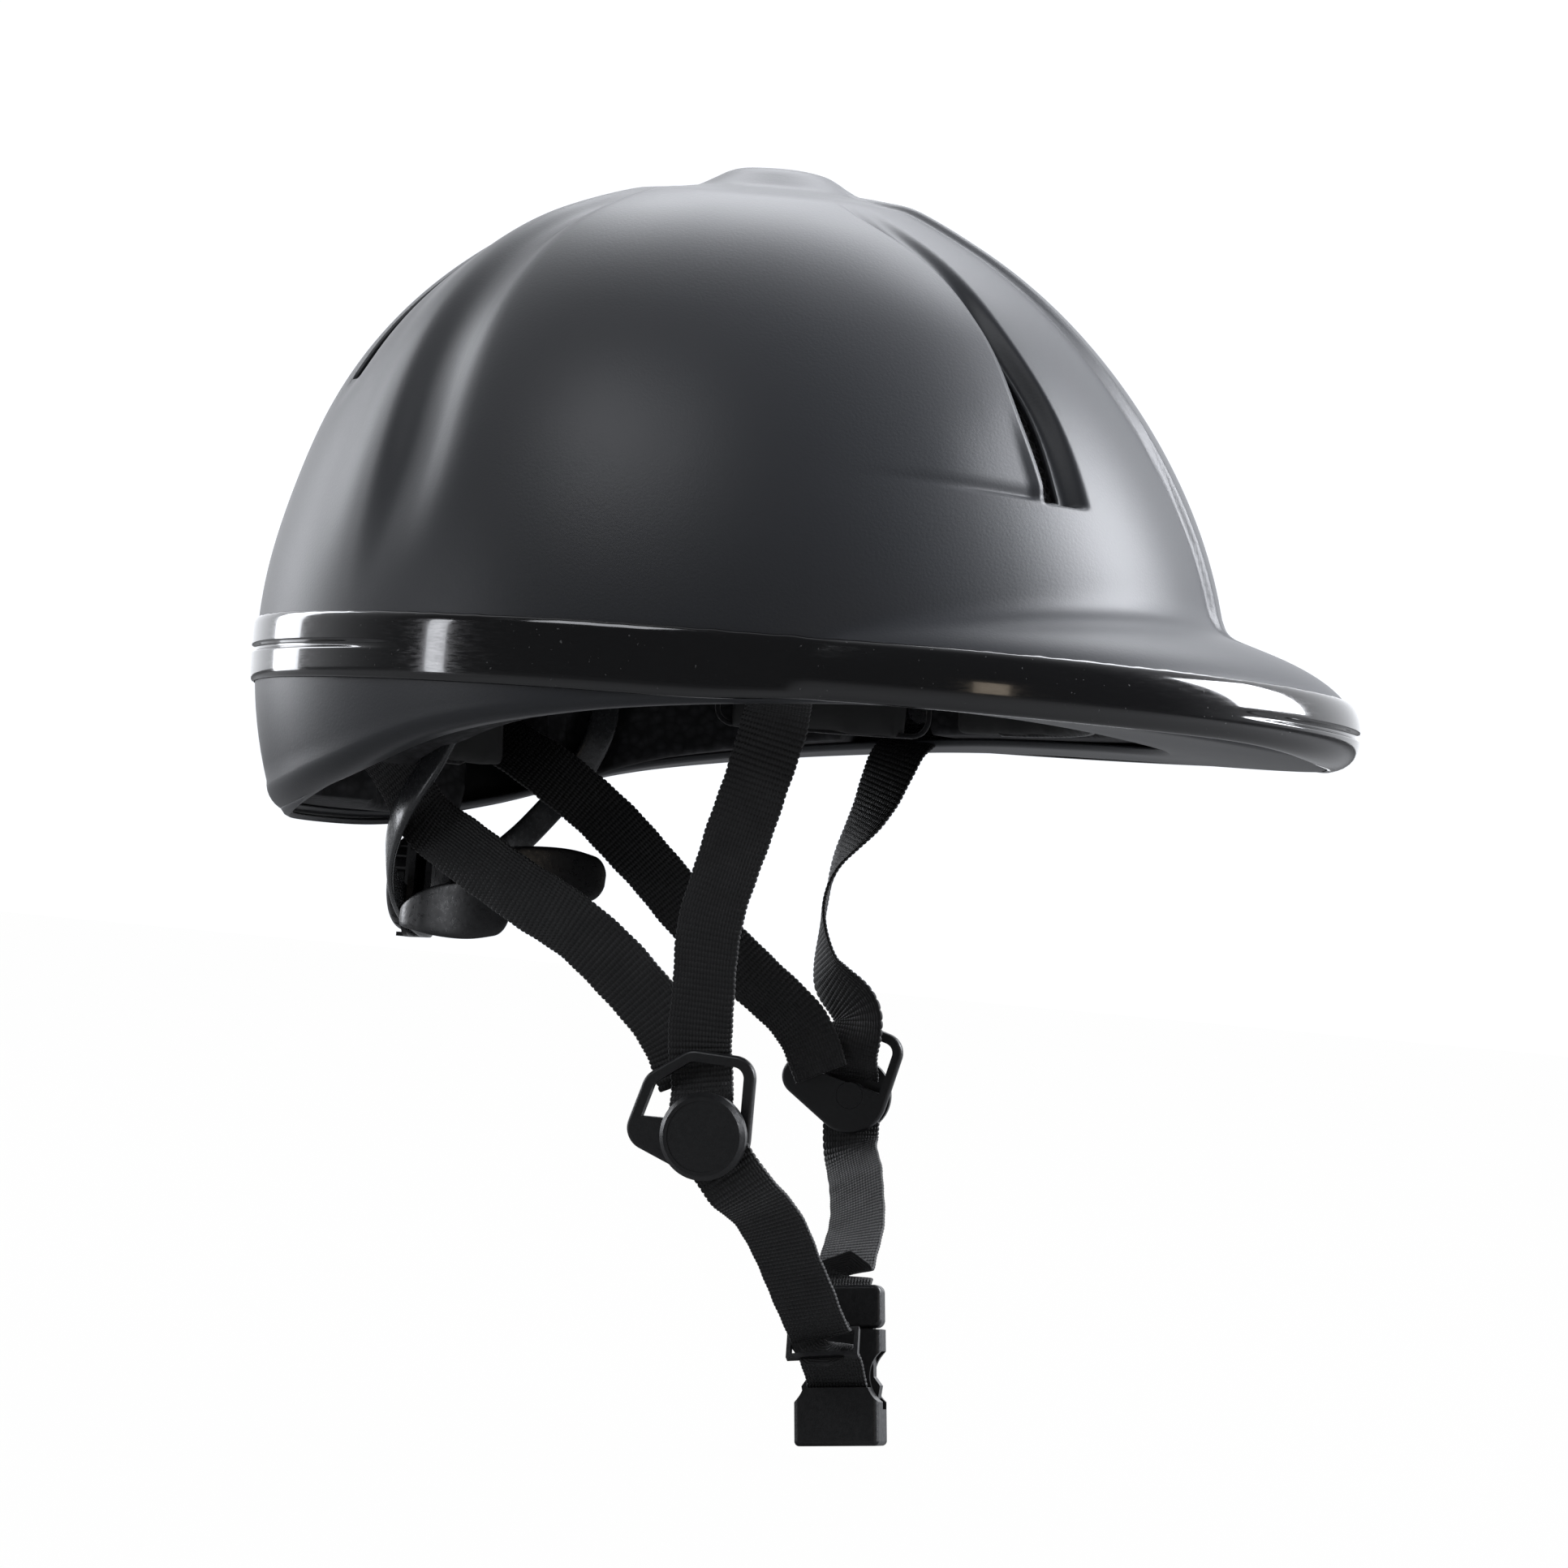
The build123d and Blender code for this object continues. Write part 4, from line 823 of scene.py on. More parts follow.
def socket_depth(p):
    """How far the lining gives way to the ends of the yoke's arms: a round-bottomed groove along each."""
    depth = np.zeros(p.shape[:-1])
    for side in SIDE_NAMES:
        arm = yoke_line(side)[-3:]
        start, end = arm[0], arm[-1] + unit(arm[-1] - arm[0]) * 3.0
        share = np.clip((p - start) @ (end - start) / np.sum((end - start) ** 2), 0.0, 1.0)
        away = np.linalg.norm(p - start - share[..., None] * (end - start), axis=-1)
        depth = np.maximum(depth, 4.0 * smooth((8.5 - away) / 3.0))
    return depth


def build_foam(settings):
    """Two radial grids, under the shell's relief and on the head cavity, joined at the rim and the vents."""
    turns = np.arange(0.0, 360.0, FOAM_TURN_STEP)
    signed = (turns + 180.0) % 360.0 - 180.0
    columns = len(turns)
    rim = foam_rim(turns)
    upper = np.linspace(15.0, 88.5, 50)
    share = np.linspace(0.0, 1.0, 16, endpoint=False)[:, None]

    def grid_lifts(height, corner):
        """Rows of lifts from the rim, a corner's radius above it, up to the crown."""
        low = np.degrees(np.arcsin((rim + corner) / height))
        return np.concatenate([low + (upper[0] - low) * share, np.repeat(upper[:, None], columns, 1)])

    outer_lifts, inner_lifts = grid_lifts(DOME_HEIGHT, FOAM_CORNER), grid_lifts(CAVITY[2], FOAM_CORNER)
    all_signed = np.repeat(signed[None], len(outer_lifts), 0)
    plain = radial_form(all_signed, outer_lifts, inside_dome)
    under = np.minimum(relief(all_signed, outer_lifts, settings.channel_depth / MM), 0.0)
    under = under * smooth((outer_lifts - 4.0) / 6.0) - settings.wall / MM - FOAM_UNDER_SHELL
    outer = plain + grid_normals(plain) * under[..., None]
    t, l = np.radians(all_signed), np.radians(inner_lifts)
    inner = CAVITY * np.stack([np.cos(l) * np.cos(t), np.cos(l) * np.sin(t), np.sin(l)], -1)
    inner = inner + unit(inner / CAVITY**2) * socket_depth(inner)[..., None]
    rows = len(outer)
    edge = []
    for step in np.radians(np.linspace(0, 90, 6)[1:]):
        edge.append((FOAM_CORNER * (1 - np.cos(step)), FOAM_CORNER * (1 - np.sin(step))))
    across = inner[0] - outer[0]
    width = np.linalg.norm(across, axis=-1, keepdims=True)
    under_edge = []
    for inset, up in edge + [(width / 2, 0.0)] + [(width - inset, up) for inset, up in edge[::-1]]:
        ring = outer[0] + across * inset / width
        ring[:, 2] = rim + up
        under_edge.append(ring)
    grid = np.concatenate([outer[::-1], np.stack(under_edge), inner])
    crown = [outer[-1].mean(axis=0), inner[-1].mean(axis=0)]
    faces = grid_faces(len(grid), columns, wrap=True)
    blocks, tunnels = [], []
    for (low, high), (near, far) in FOAM_HOLES:
        r0, r1 = 16 + np.searchsorted(upper, [low, high])
        for c0, c1 in ((near, far), (360.0 - far, 360.0 - near)):
            span = (int(c0 / FOAM_TURN_STEP), int(c1 / FOAM_TURN_STEP))
            out_rows = (rows - 1 - int(r1), rows - 1 - int(r0))
            in_rows = (rows + len(under_edge) + int(r0), rows + len(under_edge) + int(r1))
            blocks += [(out_rows, span), (in_rows, span)]
            mouth = border((rows - 1 - out_rows[0], rows - 1 - out_rows[1]), span, columns)
            out_loop = (rows - 1 - mouth // columns) * columns + mouth % columns
            in_loop = (rows + len(under_edge) + mouth // columns) * columns + mouth % columns
            tunnels.append(np.stack([out_loop, np.roll(out_loop, -1), np.roll(in_loop, -1), in_loop], -1))
    quads = drop_faces(faces, [b[0] for b in blocks], [b[1] for b in blocks])
    ring = np.arange(columns)
    last = (len(grid) - 1) * columns
    onward = (ring + 1) % columns
    tip = np.full(columns, len(grid) * columns)
    first_cap = np.stack([onward, ring, tip], -1)
    last_cap = np.stack([last + ring, last + onward, tip + 1], -1)
    points = np.concatenate([grid.reshape(-1, 3), np.array(crown)])
    foam = mesh_object("foam_shell", points, [quads, first_cap, last_cap, *tunnels])
    make_outward(foam)
    return foam


# ---------------------------------------------------------------- vent nets

NET_BELOW = 2.0
NET_DEEPEST = 8.0
NET_THICKNESS = 0.3


def build_vent_net(name, side, lift_range, near_line, width_of, settings):
    """Net panel under a vent: the shell's own relief carried on past the vent's edges, a little below it."""
    low, high = lift_range
    lifts = np.linspace(low - 1.5, high + 1.5, 44)
    share = np.linspace(-0.35, 1.35, 16)
    near = feature(near_line, lifts)[:, None]
    width = width_of(lifts)[:, None]
    turns = near + width * share
    held = near + width * np.clip(share, 0.05, 0.95)
    lift_grid = np.repeat(lifts[:, None], len(share), axis=1)
    plain = radial_form(turns * side, lift_grid)
    down = relief(held, np.clip(lift_grid, low + 0.5, high - 0.5), settings.channel_depth / MM) - NET_BELOW
    outward = unit(plain / np.array([HALF_LENGTH, HALF_WIDTH, DOME_HEIGHT]) ** 2)
    points = plain + outward * np.maximum(down, -NET_DEEPEST)[..., None]
    faces = grid_faces(len(lifts), len(share)).reshape(-1, 4)
    net = mesh_object(name, points, [faces if side > 0 else faces[:, ::-1]])
    add_modifier(net, "SOLIDIFY", thickness=NET_THICKNESS * MM, offset=-1.0)
    return net


# ---------------------------------------------------------------- harness routes

SHELL_TO_STRAP = 5.3
ANCHOR_HEIGHT = 5.0
FRONT_ANCHOR_TURN = 74.0
REAR_ANCHOR_TURN = 143.0
BUCKLE_FOOT = np.array([51.0, -1.0, -208.0])
BUCKLE_TIP = 7.0
PLATE_HALF = 1.5
LAYER_GAP = 0.3
WEB = 1.6
BEHIND_PLATE = -(PLATE_HALF + WEB / 2 + LAYER_GAP)
SECOND_LAYER = BEHIND_PLATE - WEB - 2 * LAYER_GAP
OVER_PLATE = -BEHIND_PLATE
BOX_SLOT = -7.1
BOX_HEIGHT = 16.0
LOOP_LOW = 32.4
LOOP_TOP = 44.4
RIB_STEPS = 6
EDGE_SCALLOP = 0.35
RIB_DEPTH = 0.30
WEB_COLUMNS = 28
FRONT_TWIST = (-57.0, 28.0, 80.0)


def buckle_axes():
    """The buckle's own X, Y and Z: tipped about Y, then about X."""
    tip = math.radians(-BUCKLE_TIP)
    turn = Matrix.Rotation(tip, 3, "X") @ Matrix.Rotation(tip, 3, "Y")
    return np.array(turn).T


def in_buckle(x, y, z):
    return BUCKLE_FOOT + np.array([x, y, z]) @ buckle_axes()


def spot(part_x, part_y, height, side):
    return np.array([part_x * HALF_LENGTH, side * part_y * HALF_WIDTH, height])


def in_divider(side, ahead, up, out):
    """Point in a divider's frame: ahead of its cap, above it, and out from its plate."""
    if side == RIGHT:
        origin, lean = spot(0.162, 0.672, -121.0, side), 0.0
    else:
        origin, lean = spot(0.213, 0.672, -114.5, side), math.radians(-14.0)
    forward = np.array([math.cos(lean), 0.0, math.sin(lean)])
    upward = np.array([-math.sin(lean), 0.0, math.cos(lean)])
    return origin + forward * ahead + upward * up + np.array([0.0, side * out, 0.0])


def level_outward(point):
    return unit(point * np.array([HALF_LENGTH**-2, HALF_WIDTH**-2, 0.0]))


def anchor_points(side, turn):
    """Upper end of a strap, flat inside the shell wall behind its rivet."""
    angle = math.radians(side * turn)
    points = []
    for height in (ANCHOR_HEIGHT + 5.0, ANCHOR_HEIGHT - 5.0):
        share = math.sqrt(1 - (height / DOME_HEIGHT) ** 2)
        wall = np.array([HALF_LENGTH * share * math.cos(angle), HALF_WIDTH * share * math.sin(angle), height])
        points.append(wall - level_outward(wall) * SHELL_TO_STRAP)
    return points


def front_route(side):
    """Front strap: from its rivet down inside the rim, behind the divider and out through its window."""
    if side == RIGHT:
        hang = [(0.245, 0.785, -10.0), (0.212, 0.760, -28.0), (0.170, 0.735, -48.0), (0.137, 0.712, -66.0)]
        hang.append((0.128, 0.672, -84.0))
    else:
        hang = [(0.235, 0.785, -10.0), (0.190, 0.765, -28.0), (0.122, 0.735, -48.0), (0.112, 0.712, -64.0)]
        hang.append((0.135, 0.680, -78.0))
    route = anchor_points(side, FRONT_ANCHOR_TURN) + [spot(x, y, z, side) for x, y, z in hang]
    route.append(in_divider(side, -5.0, 23.0, BEHIND_PLATE))
    route.append(in_divider(side, -3.4, 12.5, BEHIND_PLATE))
    route.append(in_divider(side, -2.0, 5.2, OVER_PLATE))
    return route


def rear_route(side):
    """Rear strap: from its rivet out past the nape, between yoke and wing, then forward and down."""
    if side == RIGHT:
        hang = [
            (-0.665, 0.520, -20.0), (-0.575, 0.462, -33.0), (-0.510, 0.474, -44.0), (-0.415, 0.520, -51.5),
            (-0.275, 0.582, -61.5), (-0.130, 0.625, -71.5), (-0.025, 0.630, -83.0),
        ]
        held = [(-12.5, 23.5), (-7.5, 13.0)]
    else:
        hang = [
            (-0.640, 0.520, -14.0), (-0.500, 0.478, -24.0), (-0.385, 0.512, -35.0), (-0.265, 0.548, -50.0),
            (-0.150, 0.585, -66.0), (-0.030, 0.610, -80.0),
        ]
        held = [(-18.0, 13.5), (-9.5, 3.5)]
    route = anchor_points(side, REAR_ANCHOR_TURN) + [spot(x, y, z, side) for x, y, z in hang]
    return route + [in_divider(side, ahead, up, SECOND_LAYER) for ahead, up in held]


def chin_route(side):
    """Chin strap: from under the divider's cap down and in to the buckle."""
    if side == RIGHT:
        return [
            in_divider(side, 3.0, -4.2, OVER_PLATE), in_divider(side, 8.6, -11.0, OVER_PLATE),
            spot(0.268, 0.570, -141.0, side), np.array([42.0, -42, -158]), np.array([45.2, -30, -170]),
            in_buckle(0, BOX_SLOT - 7.0, BOX_HEIGHT + 6), in_buckle(0, BOX_SLOT, BOX_HEIGHT),
            in_buckle(0, BOX_SLOT, 3.0),
        ]
    return [
        in_divider(side, 1.6, -4.9, OVER_PLATE), in_divider(side, 3.9, -12.5, OVER_PLATE),
        spot(0.270, 0.500, -139.0, side), np.array([42.5, 34, -149]), in_buckle(0, 6.0, LOOP_TOP + 5.0),
        in_buckle(0, 0, LOOP_TOP), in_buckle(0, 0, LOOP_LOW + 3.5),
    ]


def strap_across(route, side, held=0):
    """Wide side of a strap at its stations: flat to the shell, then to the divider, to the buckle last."""
    route = np.array(route)
    along = unit(np.gradient(route, axis=0))
    turned = np.clip((-route[:, 2:3] - 20.0) / 40.0, 0.0, 1.0)
    outward = level_outward(route) * (1 - turned) + np.array([0.0, side, 0.0]) * turned
    flat = unit(np.cross(along, outward))
    if held:
        flat[-held:] = buckle_axes()[0] * -side
    return flat


def build_webbing(name, route, across, settings, twist=None):
    """Ribbed webbing: a flat rounded section carried along a smooth line through the stations.

    The section is a superellipse; across every rib its width and thickness swell as the root of a cosine.
    twist is (middle height, spread, degrees): the strap rolls about its own line as a bell curve of height.
    """
    route = np.array(route)
    stations = np.concatenate([[0.0], np.cumsum(np.linalg.norm(np.diff(route, axis=0), axis=1))])
    fine = np.linspace(0.0, stations[-1], 1200)
    line = np.stack([curve_through(fine, stations, route[:, k]) for k in range(3)], -1)
    run = np.concatenate([[0.0], np.cumsum(np.linalg.norm(np.diff(line, axis=0), axis=1))])
    pitch = settings.rib_pitch / MM
    even = np.arange(0.0, run[-1], pitch / RIB_STEPS)
    where = np.interp(even, run, fine)
    centre = np.stack([curve_through(where, stations, route[:, k]) for k in range(3)], -1)
    flat = np.stack([curve_through(where, stations, across[:, k]) for k in range(3)], -1)
    along = unit(np.gradient(centre, axis=0))
    flat = unit(flat - along * np.sum(flat * along, -1, keepdims=True))
    proud = np.cross(along, flat)
    if twist is not None:
        middle, spread, degrees = twist
        roll = np.radians(degrees) * np.exp(-(((centre[:, 2:3] - middle) / spread) ** 2))
        flat, proud = flat * np.cos(roll) + proud * np.sin(roll), proud * np.cos(roll) - flat * np.sin(roll)
    rib = np.sqrt(np.abs(np.cos(math.pi * even / pitch)))
    wander = 0.10 * np.sin(even * 0.23) + 0.07 * np.sin(even * 0.61 + 1.0)
    half_width = settings.width / MM / 2 - EDGE_SCALLOP * (1 - rib) + wander
    half_thick = settings.thickness / MM / 2 - RIB_DEPTH * (1 - rib)
    angle = np.linspace(0.0, 2 * math.pi, WEB_COLUMNS, endpoint=False)
    wide = np.sign(np.cos(angle)) * np.abs(np.cos(angle)) ** 0.42
    thick = np.sign(np.sin(angle)) * np.abs(np.sin(angle)) ** 0.42
    ring = flat[:, None, :] * (half_width[:, None] * wide)[..., None]
    ring = ring + proud[:, None, :] * (half_thick[:, None] * thick)[..., None]
    points = centre[:, None, :] + ring
    rows = len(even)
    u = np.repeat((wide * settings.width / MM / 2)[None, :], rows, axis=0)
    v = np.repeat(even[:, None], WEB_COLUMNS, axis=1)
    caps = np.stack([np.arange(WEB_COLUMNS)[::-1], np.arange(WEB_COLUMNS) + (rows - 1) * WEB_COLUMNS])
    faces = grid_faces(rows, WEB_COLUMNS, wrap=True).reshape(-1, 4)
    return mesh_object(name, points, [faces, caps], uv=np.stack([u, v], -1))


# ---------------------------------------------------------------- fit cradle

CASE_LOW, CASE_HIGH = (to_mm(corner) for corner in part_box("rack_case"))
CASE_X = (CASE_LOW[0] + CASE_HIGH[0]) / 2
DIAL_HEIGHT = (CASE_LOW[2] + CASE_HIGH[2]) / 2
CASE_HALF = CASE_HIGH[1]
YOKE_X = CASE_LOW[0] - 1.3
YOKE_HALF_THICK = 1.1
TOOTH_TIP = 6.3
RACK_TOP = 11.0
RACK_ROOT = 8.0
TRAVEL = 9.0
RACK_TOOTHED = 38.0


def yoke_line(side):
    """Stations of one arm of the yoke, from the middle of the nape up to its socket in the foam."""
    rest = [
        (-0.618, 0.205, -67.0), (-0.600, 0.385, -57.0), (-0.535, 0.556, -42.0), (-0.460, 0.606, -26.0),
        (-0.418, 0.630, -12.0), (-0.412, 0.660, 4.0),
    ]
    near = np.array([YOKE_X, side * 10.0, -70.5])
    return np.array([near] + [spot(x, y, z, side) for x, y, z in rest])


def sweep(name, line, across, half_wide, half_thick, squareness):
    """Closed bar along a line: a superellipse section, with its own half width and thickness at each row."""
    along = unit(np.gradient(line, axis=0))
    flat = unit(across - along * np.sum(across * along, -1, keepdims=True))
    proud = np.cross(along, flat)
    angle = np.linspace(0.0, 2 * math.pi, 32, endpoint=False)
    wide = np.sign(np.cos(angle)) * np.abs(np.cos(angle)) ** squareness
    thick = np.sign(np.sin(angle)) * np.abs(np.sin(angle)) ** squareness
    low, high = half_wide
    reach = np.where(wide > 0, high[:, None] * wide, low[:, None] * wide)
    ring = flat[:, None] * reach[..., None] + proud[:, None] * (half_thick[:, None] * thick)[..., None]
    rows, columns = len(line), len(angle)
    caps = np.stack([np.arange(columns)[::-1], np.arange(columns) + (rows - 1) * columns])
    bar = mesh_object(name, line[:, None] + ring, [grid_faces(rows, columns, wrap=True).reshape(-1, 4), caps])
    make_outward(bar)
    return bar


def along_line(stations, values, count):
    """Even places along a line of stations, as points, with other values carried along."""
    run = np.concatenate([[0.0], np.cumsum(np.linalg.norm(np.diff(stations, axis=0), axis=1))])
    fine = np.linspace(0.0, run[-1], count)
    line = np.stack([curve_through(fine, run, stations[:, k]) for k in range(3)], -1)
    return line, [curve_through(fine, run, value) for value in values]


def build_yoke():
    """V-shaped yoke: one smooth strip from socket to socket, and a holed plate between guard and case."""
    left, right = yoke_line(LEFT), yoke_line(RIGHT)
    stations = np.concatenate([right[::-1], [[YOKE_X, 0.0, -72.0]], left])
    line, _ = along_line(stations, [], 260)
    outward = unit(line * np.array([1 / HALF_LENGTH, 1 / HALF_WIDTH, 0.0]))
    across = np.cross(unit(np.gradient(line, axis=0)), outward)
    middle = np.abs(np.linspace(-1.0, 1.0, len(line)))
    half = 5.4 - 1.0 * smooth(middle / 0.75)
    half = half * np.clip((1.0 - middle) / 0.02, 0.35, 1.0) ** 0.5
    thick = np.full(len(line), YOKE_HALF_THICK) * np.clip((1.0 - middle) / 0.02, 0.5, 1.0) ** 0.5
    strip = sweep("yoke_strip", line, across, (half, half), thick, 0.55)
    outline = rounded_outline(13.0, 14.0, 4.0)
    angle = np.arctan2(outline[:, 1], outline[:, 0])
    hole = 2.58 * np.stack([np.cos(angle), np.sin(angle)], -1)
    loops = [(outline, -0.85), (outline, 0.85), (hole, 0.85), (hole, -0.85)]
    rings = []
    for loop, x in loops:
        rings.append(np.stack([YOKE_X + x + 0 * angle, loop[:, 0], DIAL_HEIGHT + loop[:, 1]], -1))
    count = len(outline)
    ring = np.arange(count)
    faces = []
    for row in range(4):
        below, above = row * count, (row + 1) % 4 * count
        onward = (ring + 1) % count
        faces.append(np.stack([below + ring, below + onward, above + onward, above + ring], -1))
    plate = mesh_object("yoke_plate", np.stack(rings), faces)
    make_outward(plate)
    return strip, plate


def build_wing(side):
    """Rack and wing in one smooth moulding: a toothed bar in the case that widens into a curved leaf."""
    level = DIAL_HEIGHT + side * (RACK_TOP + RACK_ROOT) / 2
    middle = DIAL_HEIGHT + side * 5.5
    start = CASE_HALF + TRAVEL + 1.0
    rest = [(-0.530, 0.372, 0.60), (-0.480, 0.400, 0.35), (-0.410, 0.424, 0.15), (-0.330, 0.430, 0.0)]
    stations = [np.array([CASE_X, side * y, level]) for y in (-10.0, start - 14.0, start - 6.0, start + 1.0)]
    stations += [spot(x, y, middle + (level - middle) * share, side) for x, y, share in rest]
    bar = (RACK_TOP - RACK_ROOT) / 2
    widths = np.array([bar, bar, bar, bar + 1.0, 5.6, 7.2, 7.8, 6.0])
    line, (half,) = along_line(np.array(stations), [widths], 420)
    reach = np.abs(line[:, 1] - side * -10.0)
    pitch = math.pi
    apart = np.abs((line[:, 1] + pitch / 2) % pitch - pitch / 2)
    tooth = (RACK_ROOT - TOOTH_TIP) * np.clip((0.88 - apart) / 0.53, 0.0, 1.0)
    tooth = tooth * smooth((RACK_TOOTHED - reach) / 1.0)
    end = np.clip((np.arange(len(line))[::-1] + 1) / 22.0, 0.0, 1.0)
    half = half * np.sqrt(1 - (1 - end) ** 2) + 0.05
    up = np.tile([0.0, 0.0, float(side)], (len(line), 1))
    thick = 1.0 * np.sqrt(1 - (1 - end) ** 2) + 0.02
    return sweep(f"wing_leaf_{SIDE_NAMES[side]}", line, up, (half + tooth, half), thick, 0.4)


# ---------------------------------------------------------------- pads

PAD_GAP = 1.4
PAD_THICKNESS = 6.0
VOXEL = 3.0 * MM
SIMULATED_FRAMES = 20


def finished_copy(obj, name):
    """New mesh object holding obj as its modifiers leave it."""
    graph = bpy.context.evaluated_depsgraph_get()
    mesh = bpy.data.meshes.new_from_object(obj.evaluated_get(graph))
    copy = bpy.data.objects.new(name, mesh)
    bpy.context.scene.collection.objects.link(copy)
    return copy


def vertex_array(mesh):
    points = np.zeros(len(mesh.vertices) * 3)
    mesh.vertices.foreach_get("co", points)
    return points.reshape(-1, 3)


def build_pad(node, settings):
    """Pad from its frame solid: remeshed evenly, inflated as cloth, its swelling limited, then subdivided."""
    rough = bpy.data.objects.new(node + "_rough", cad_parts[node].data.copy())
    bpy.context.scene.collection.objects.link(rough)
    add_modifier(rough, "REMESH", mode="VOXEL", voxel_size=VOXEL)
    add_modifier(rough, "SMOOTH", factor=0.5, iterations=3)
    pad = finished_copy(rough, node + "_cushion")
    bpy.data.objects.remove(rough)
    before = vertex_array(pad.data)
    cloth = add_modifier(pad, "CLOTH")
    cloth.settings.use_pressure = True
    cloth.settings.uniform_pressure_force = settings.pressure
    cloth.settings.effector_weights.gravity = 0.0
    cloth.settings.mass = 0.1
    cloth.settings.tension_stiffness = 25.0
    cloth.settings.bending_stiffness = 2.0
    cloth.point_cache.frame_start = 1
    cloth.point_cache.frame_end = SIMULATED_FRAMES
    for number in range(1, SIMULATED_FRAMES + 1):
        bpy.context.scene.frame_set(number)
    swollen = finished_copy(pad, node + "_swollen")
    moved = vertex_array(swollen.data) - before
    length = np.linalg.norm(moved, axis=1, keepdims=True)
    limit = settings.swell_limit * np.tanh(length / settings.swell_limit)
    after = before + moved * (limit / np.maximum(length, 1e-9))
    pad.modifiers.clear()
    pad.data.vertices.foreach_set("co", after.ravel())
    bpy.data.objects.remove(swollen)
    bpy.context.scene.frame_set(1)
    pad.data.polygons.foreach_set("use_smooth", np.ones(len(pad.data.polygons), dtype=bool))
    pad.data.update()
    add_modifier(pad, "SUBSURF", levels=1, render_levels=1)
    return pad


def rounded_outline(half_across, half_up, radius, count=36):
    """Closed rectangle with round corners, as points round it: corners are quarter circles."""
    corners = [(1, 1, 0), (-1, 1, 90), (-1, -1, 180), (1, -1, 270)]
    pieces = []
    for x, y, start in corners:
        angle = np.radians(np.linspace(start, start + 90, 9))
        corner_x = x * (half_across - radius) + radius * np.cos(angle)
        corner_y = y * (half_up - radius) + radius * np.sin(angle)
        pieces.append(np.stack([corner_x, corner_y], -1))
    loop = np.concatenate(pieces + [pieces[0][:1]])
    run = np.concatenate([[0.0], np.cumsum(np.linalg.norm(np.diff(loop, axis=0), axis=1))])
    even = np.linspace(0.0, run[-1], count * 4, endpoint=False)
    return np.stack([np.interp(even, run, loop[:, k]) for k in range(2)], -1)


def on_cavity(turn, height, inset):
    """Point on the ellipsoid of the head cavity, inset from the foam, at a turn and a height."""
    half = CAVITY - inset
    share = np.sqrt(np.clip(1 - (height / half[2]) ** 2, 0.0, 1.0))
    t = np.radians(turn)
    return np.stack([half[0] * share * np.cos(t), half[1] * share * np.sin(t), height + 0 * t], -1)


def build_welt(name, line, radius):
    """Piping: a round section carried round a closed line."""
    ahead = unit(np.roll(line, -1, axis=0) - np.roll(line, 1, axis=0))
    outward = unit(line * np.array([1.0, 1.0, 0.35]))
    first = unit(np.cross(ahead, outward))
    second = np.cross(ahead, first)
    angle = np.linspace(0, 2 * math.pi, 10, endpoint=False)
    ring = first[:, None] * np.cos(angle)[:, None] + second[:, None] * np.sin(angle)[:, None]
    points = line[:, None, :] + ring * radius
    rows, columns = len(line), len(angle)
    r, c = np.meshgrid(np.arange(rows), np.arange(columns), indexing="ij")
    r_next, c_next = (r + 1) % rows, (c + 1) % columns
    here, onward = r * columns, r_next * columns
    faces = np.stack([here + c, here + c_next, onward + c_next, onward + c], -1)
    return mesh_object(name, points, [faces.reshape(-1, 4)])


# Each pad's middle turn, half turn, middle height and half height.
PAD_WINDOWS = {
    "brow_pad": (0.0, 51.0, 9.0, 12.0),
    "side_pad_left": (84.0, 19.0, 12.0, 17.0),
    "side_pad_right": (-84.0, 19.0, 12.0, 17.0),
    "rear_pad": (180.0, 29.0, -5.0, 20.0),
}
WELT_RADIUS = 0.8


def pad_edge(node):
    """Line of a pad's piping: its rounded window wrapped on the middle of its thickness."""
    turn, half_turn, height, half_height = PAD_WINDOWS[node]
    half_across = math.radians(half_turn) * (CAVITY[0] + CAVITY[1]) / 2
    outline = rounded_outline(half_across, half_height, 5.0)
    turns = turn + outline[:, 0] / half_across * half_turn
    return on_cavity(turns, height + outline[:, 1], PAD_GAP + PAD_THICKNESS / 2)


# ---------------------------------------------------------------- materials by slot

MATERIALS = {}


def make_materials(scene):
    """One finish for each of the part's material slots."""
    fitting = tuple(scene.helmet_harness.fitting_colour)
    return {
        "shell": matte_shell_material("shell_matte", tuple(scene.helmet_shell.colour)),
        "trim": gloss_band_material("band_gloss", tuple(scene.helmet_trim.colour)),
        "foam": foam_material("bead_foam"),
        "vent_net": net_material("vent_net"),
        "webbing": webbing_material("ribbed_webbing", tuple(scene.helmet_harness.colour)),
        "padding": knit_material("pad_knit", tuple(scene.helmet_pads.colour)),
        "welt": knit_material("pad_welt", (0.010, 0.010, 0.011)),
        "hook_tape": hook_tape_material("hook_tape"),
        "rivet": steel_material("rivet_steel"),
        "hardware": moulded_material("moulded_fitting", fitting, 0.36),
        "cradle_plastic": moulded_material("cradle_satin", (0.009, 0.009, 0.010), 0.30, 700.0),
        # The yoke's base colour is about three times the cradle's: partly its own lighter satin tone, partly
        # painted highlight for the sheen it shows.
        "yoke_tone_and_painted_highlight": moulded_material("yoke_tone_and_painted_highlight", (0.030, 0.031, 0.033), 0.24, 700.0),
        "gear_plastic": moulded_material("gear_plastic", (0.022, 0.022, 0.024), 0.45),
        "screw_steel": steel_material("screw_steel"),
    }


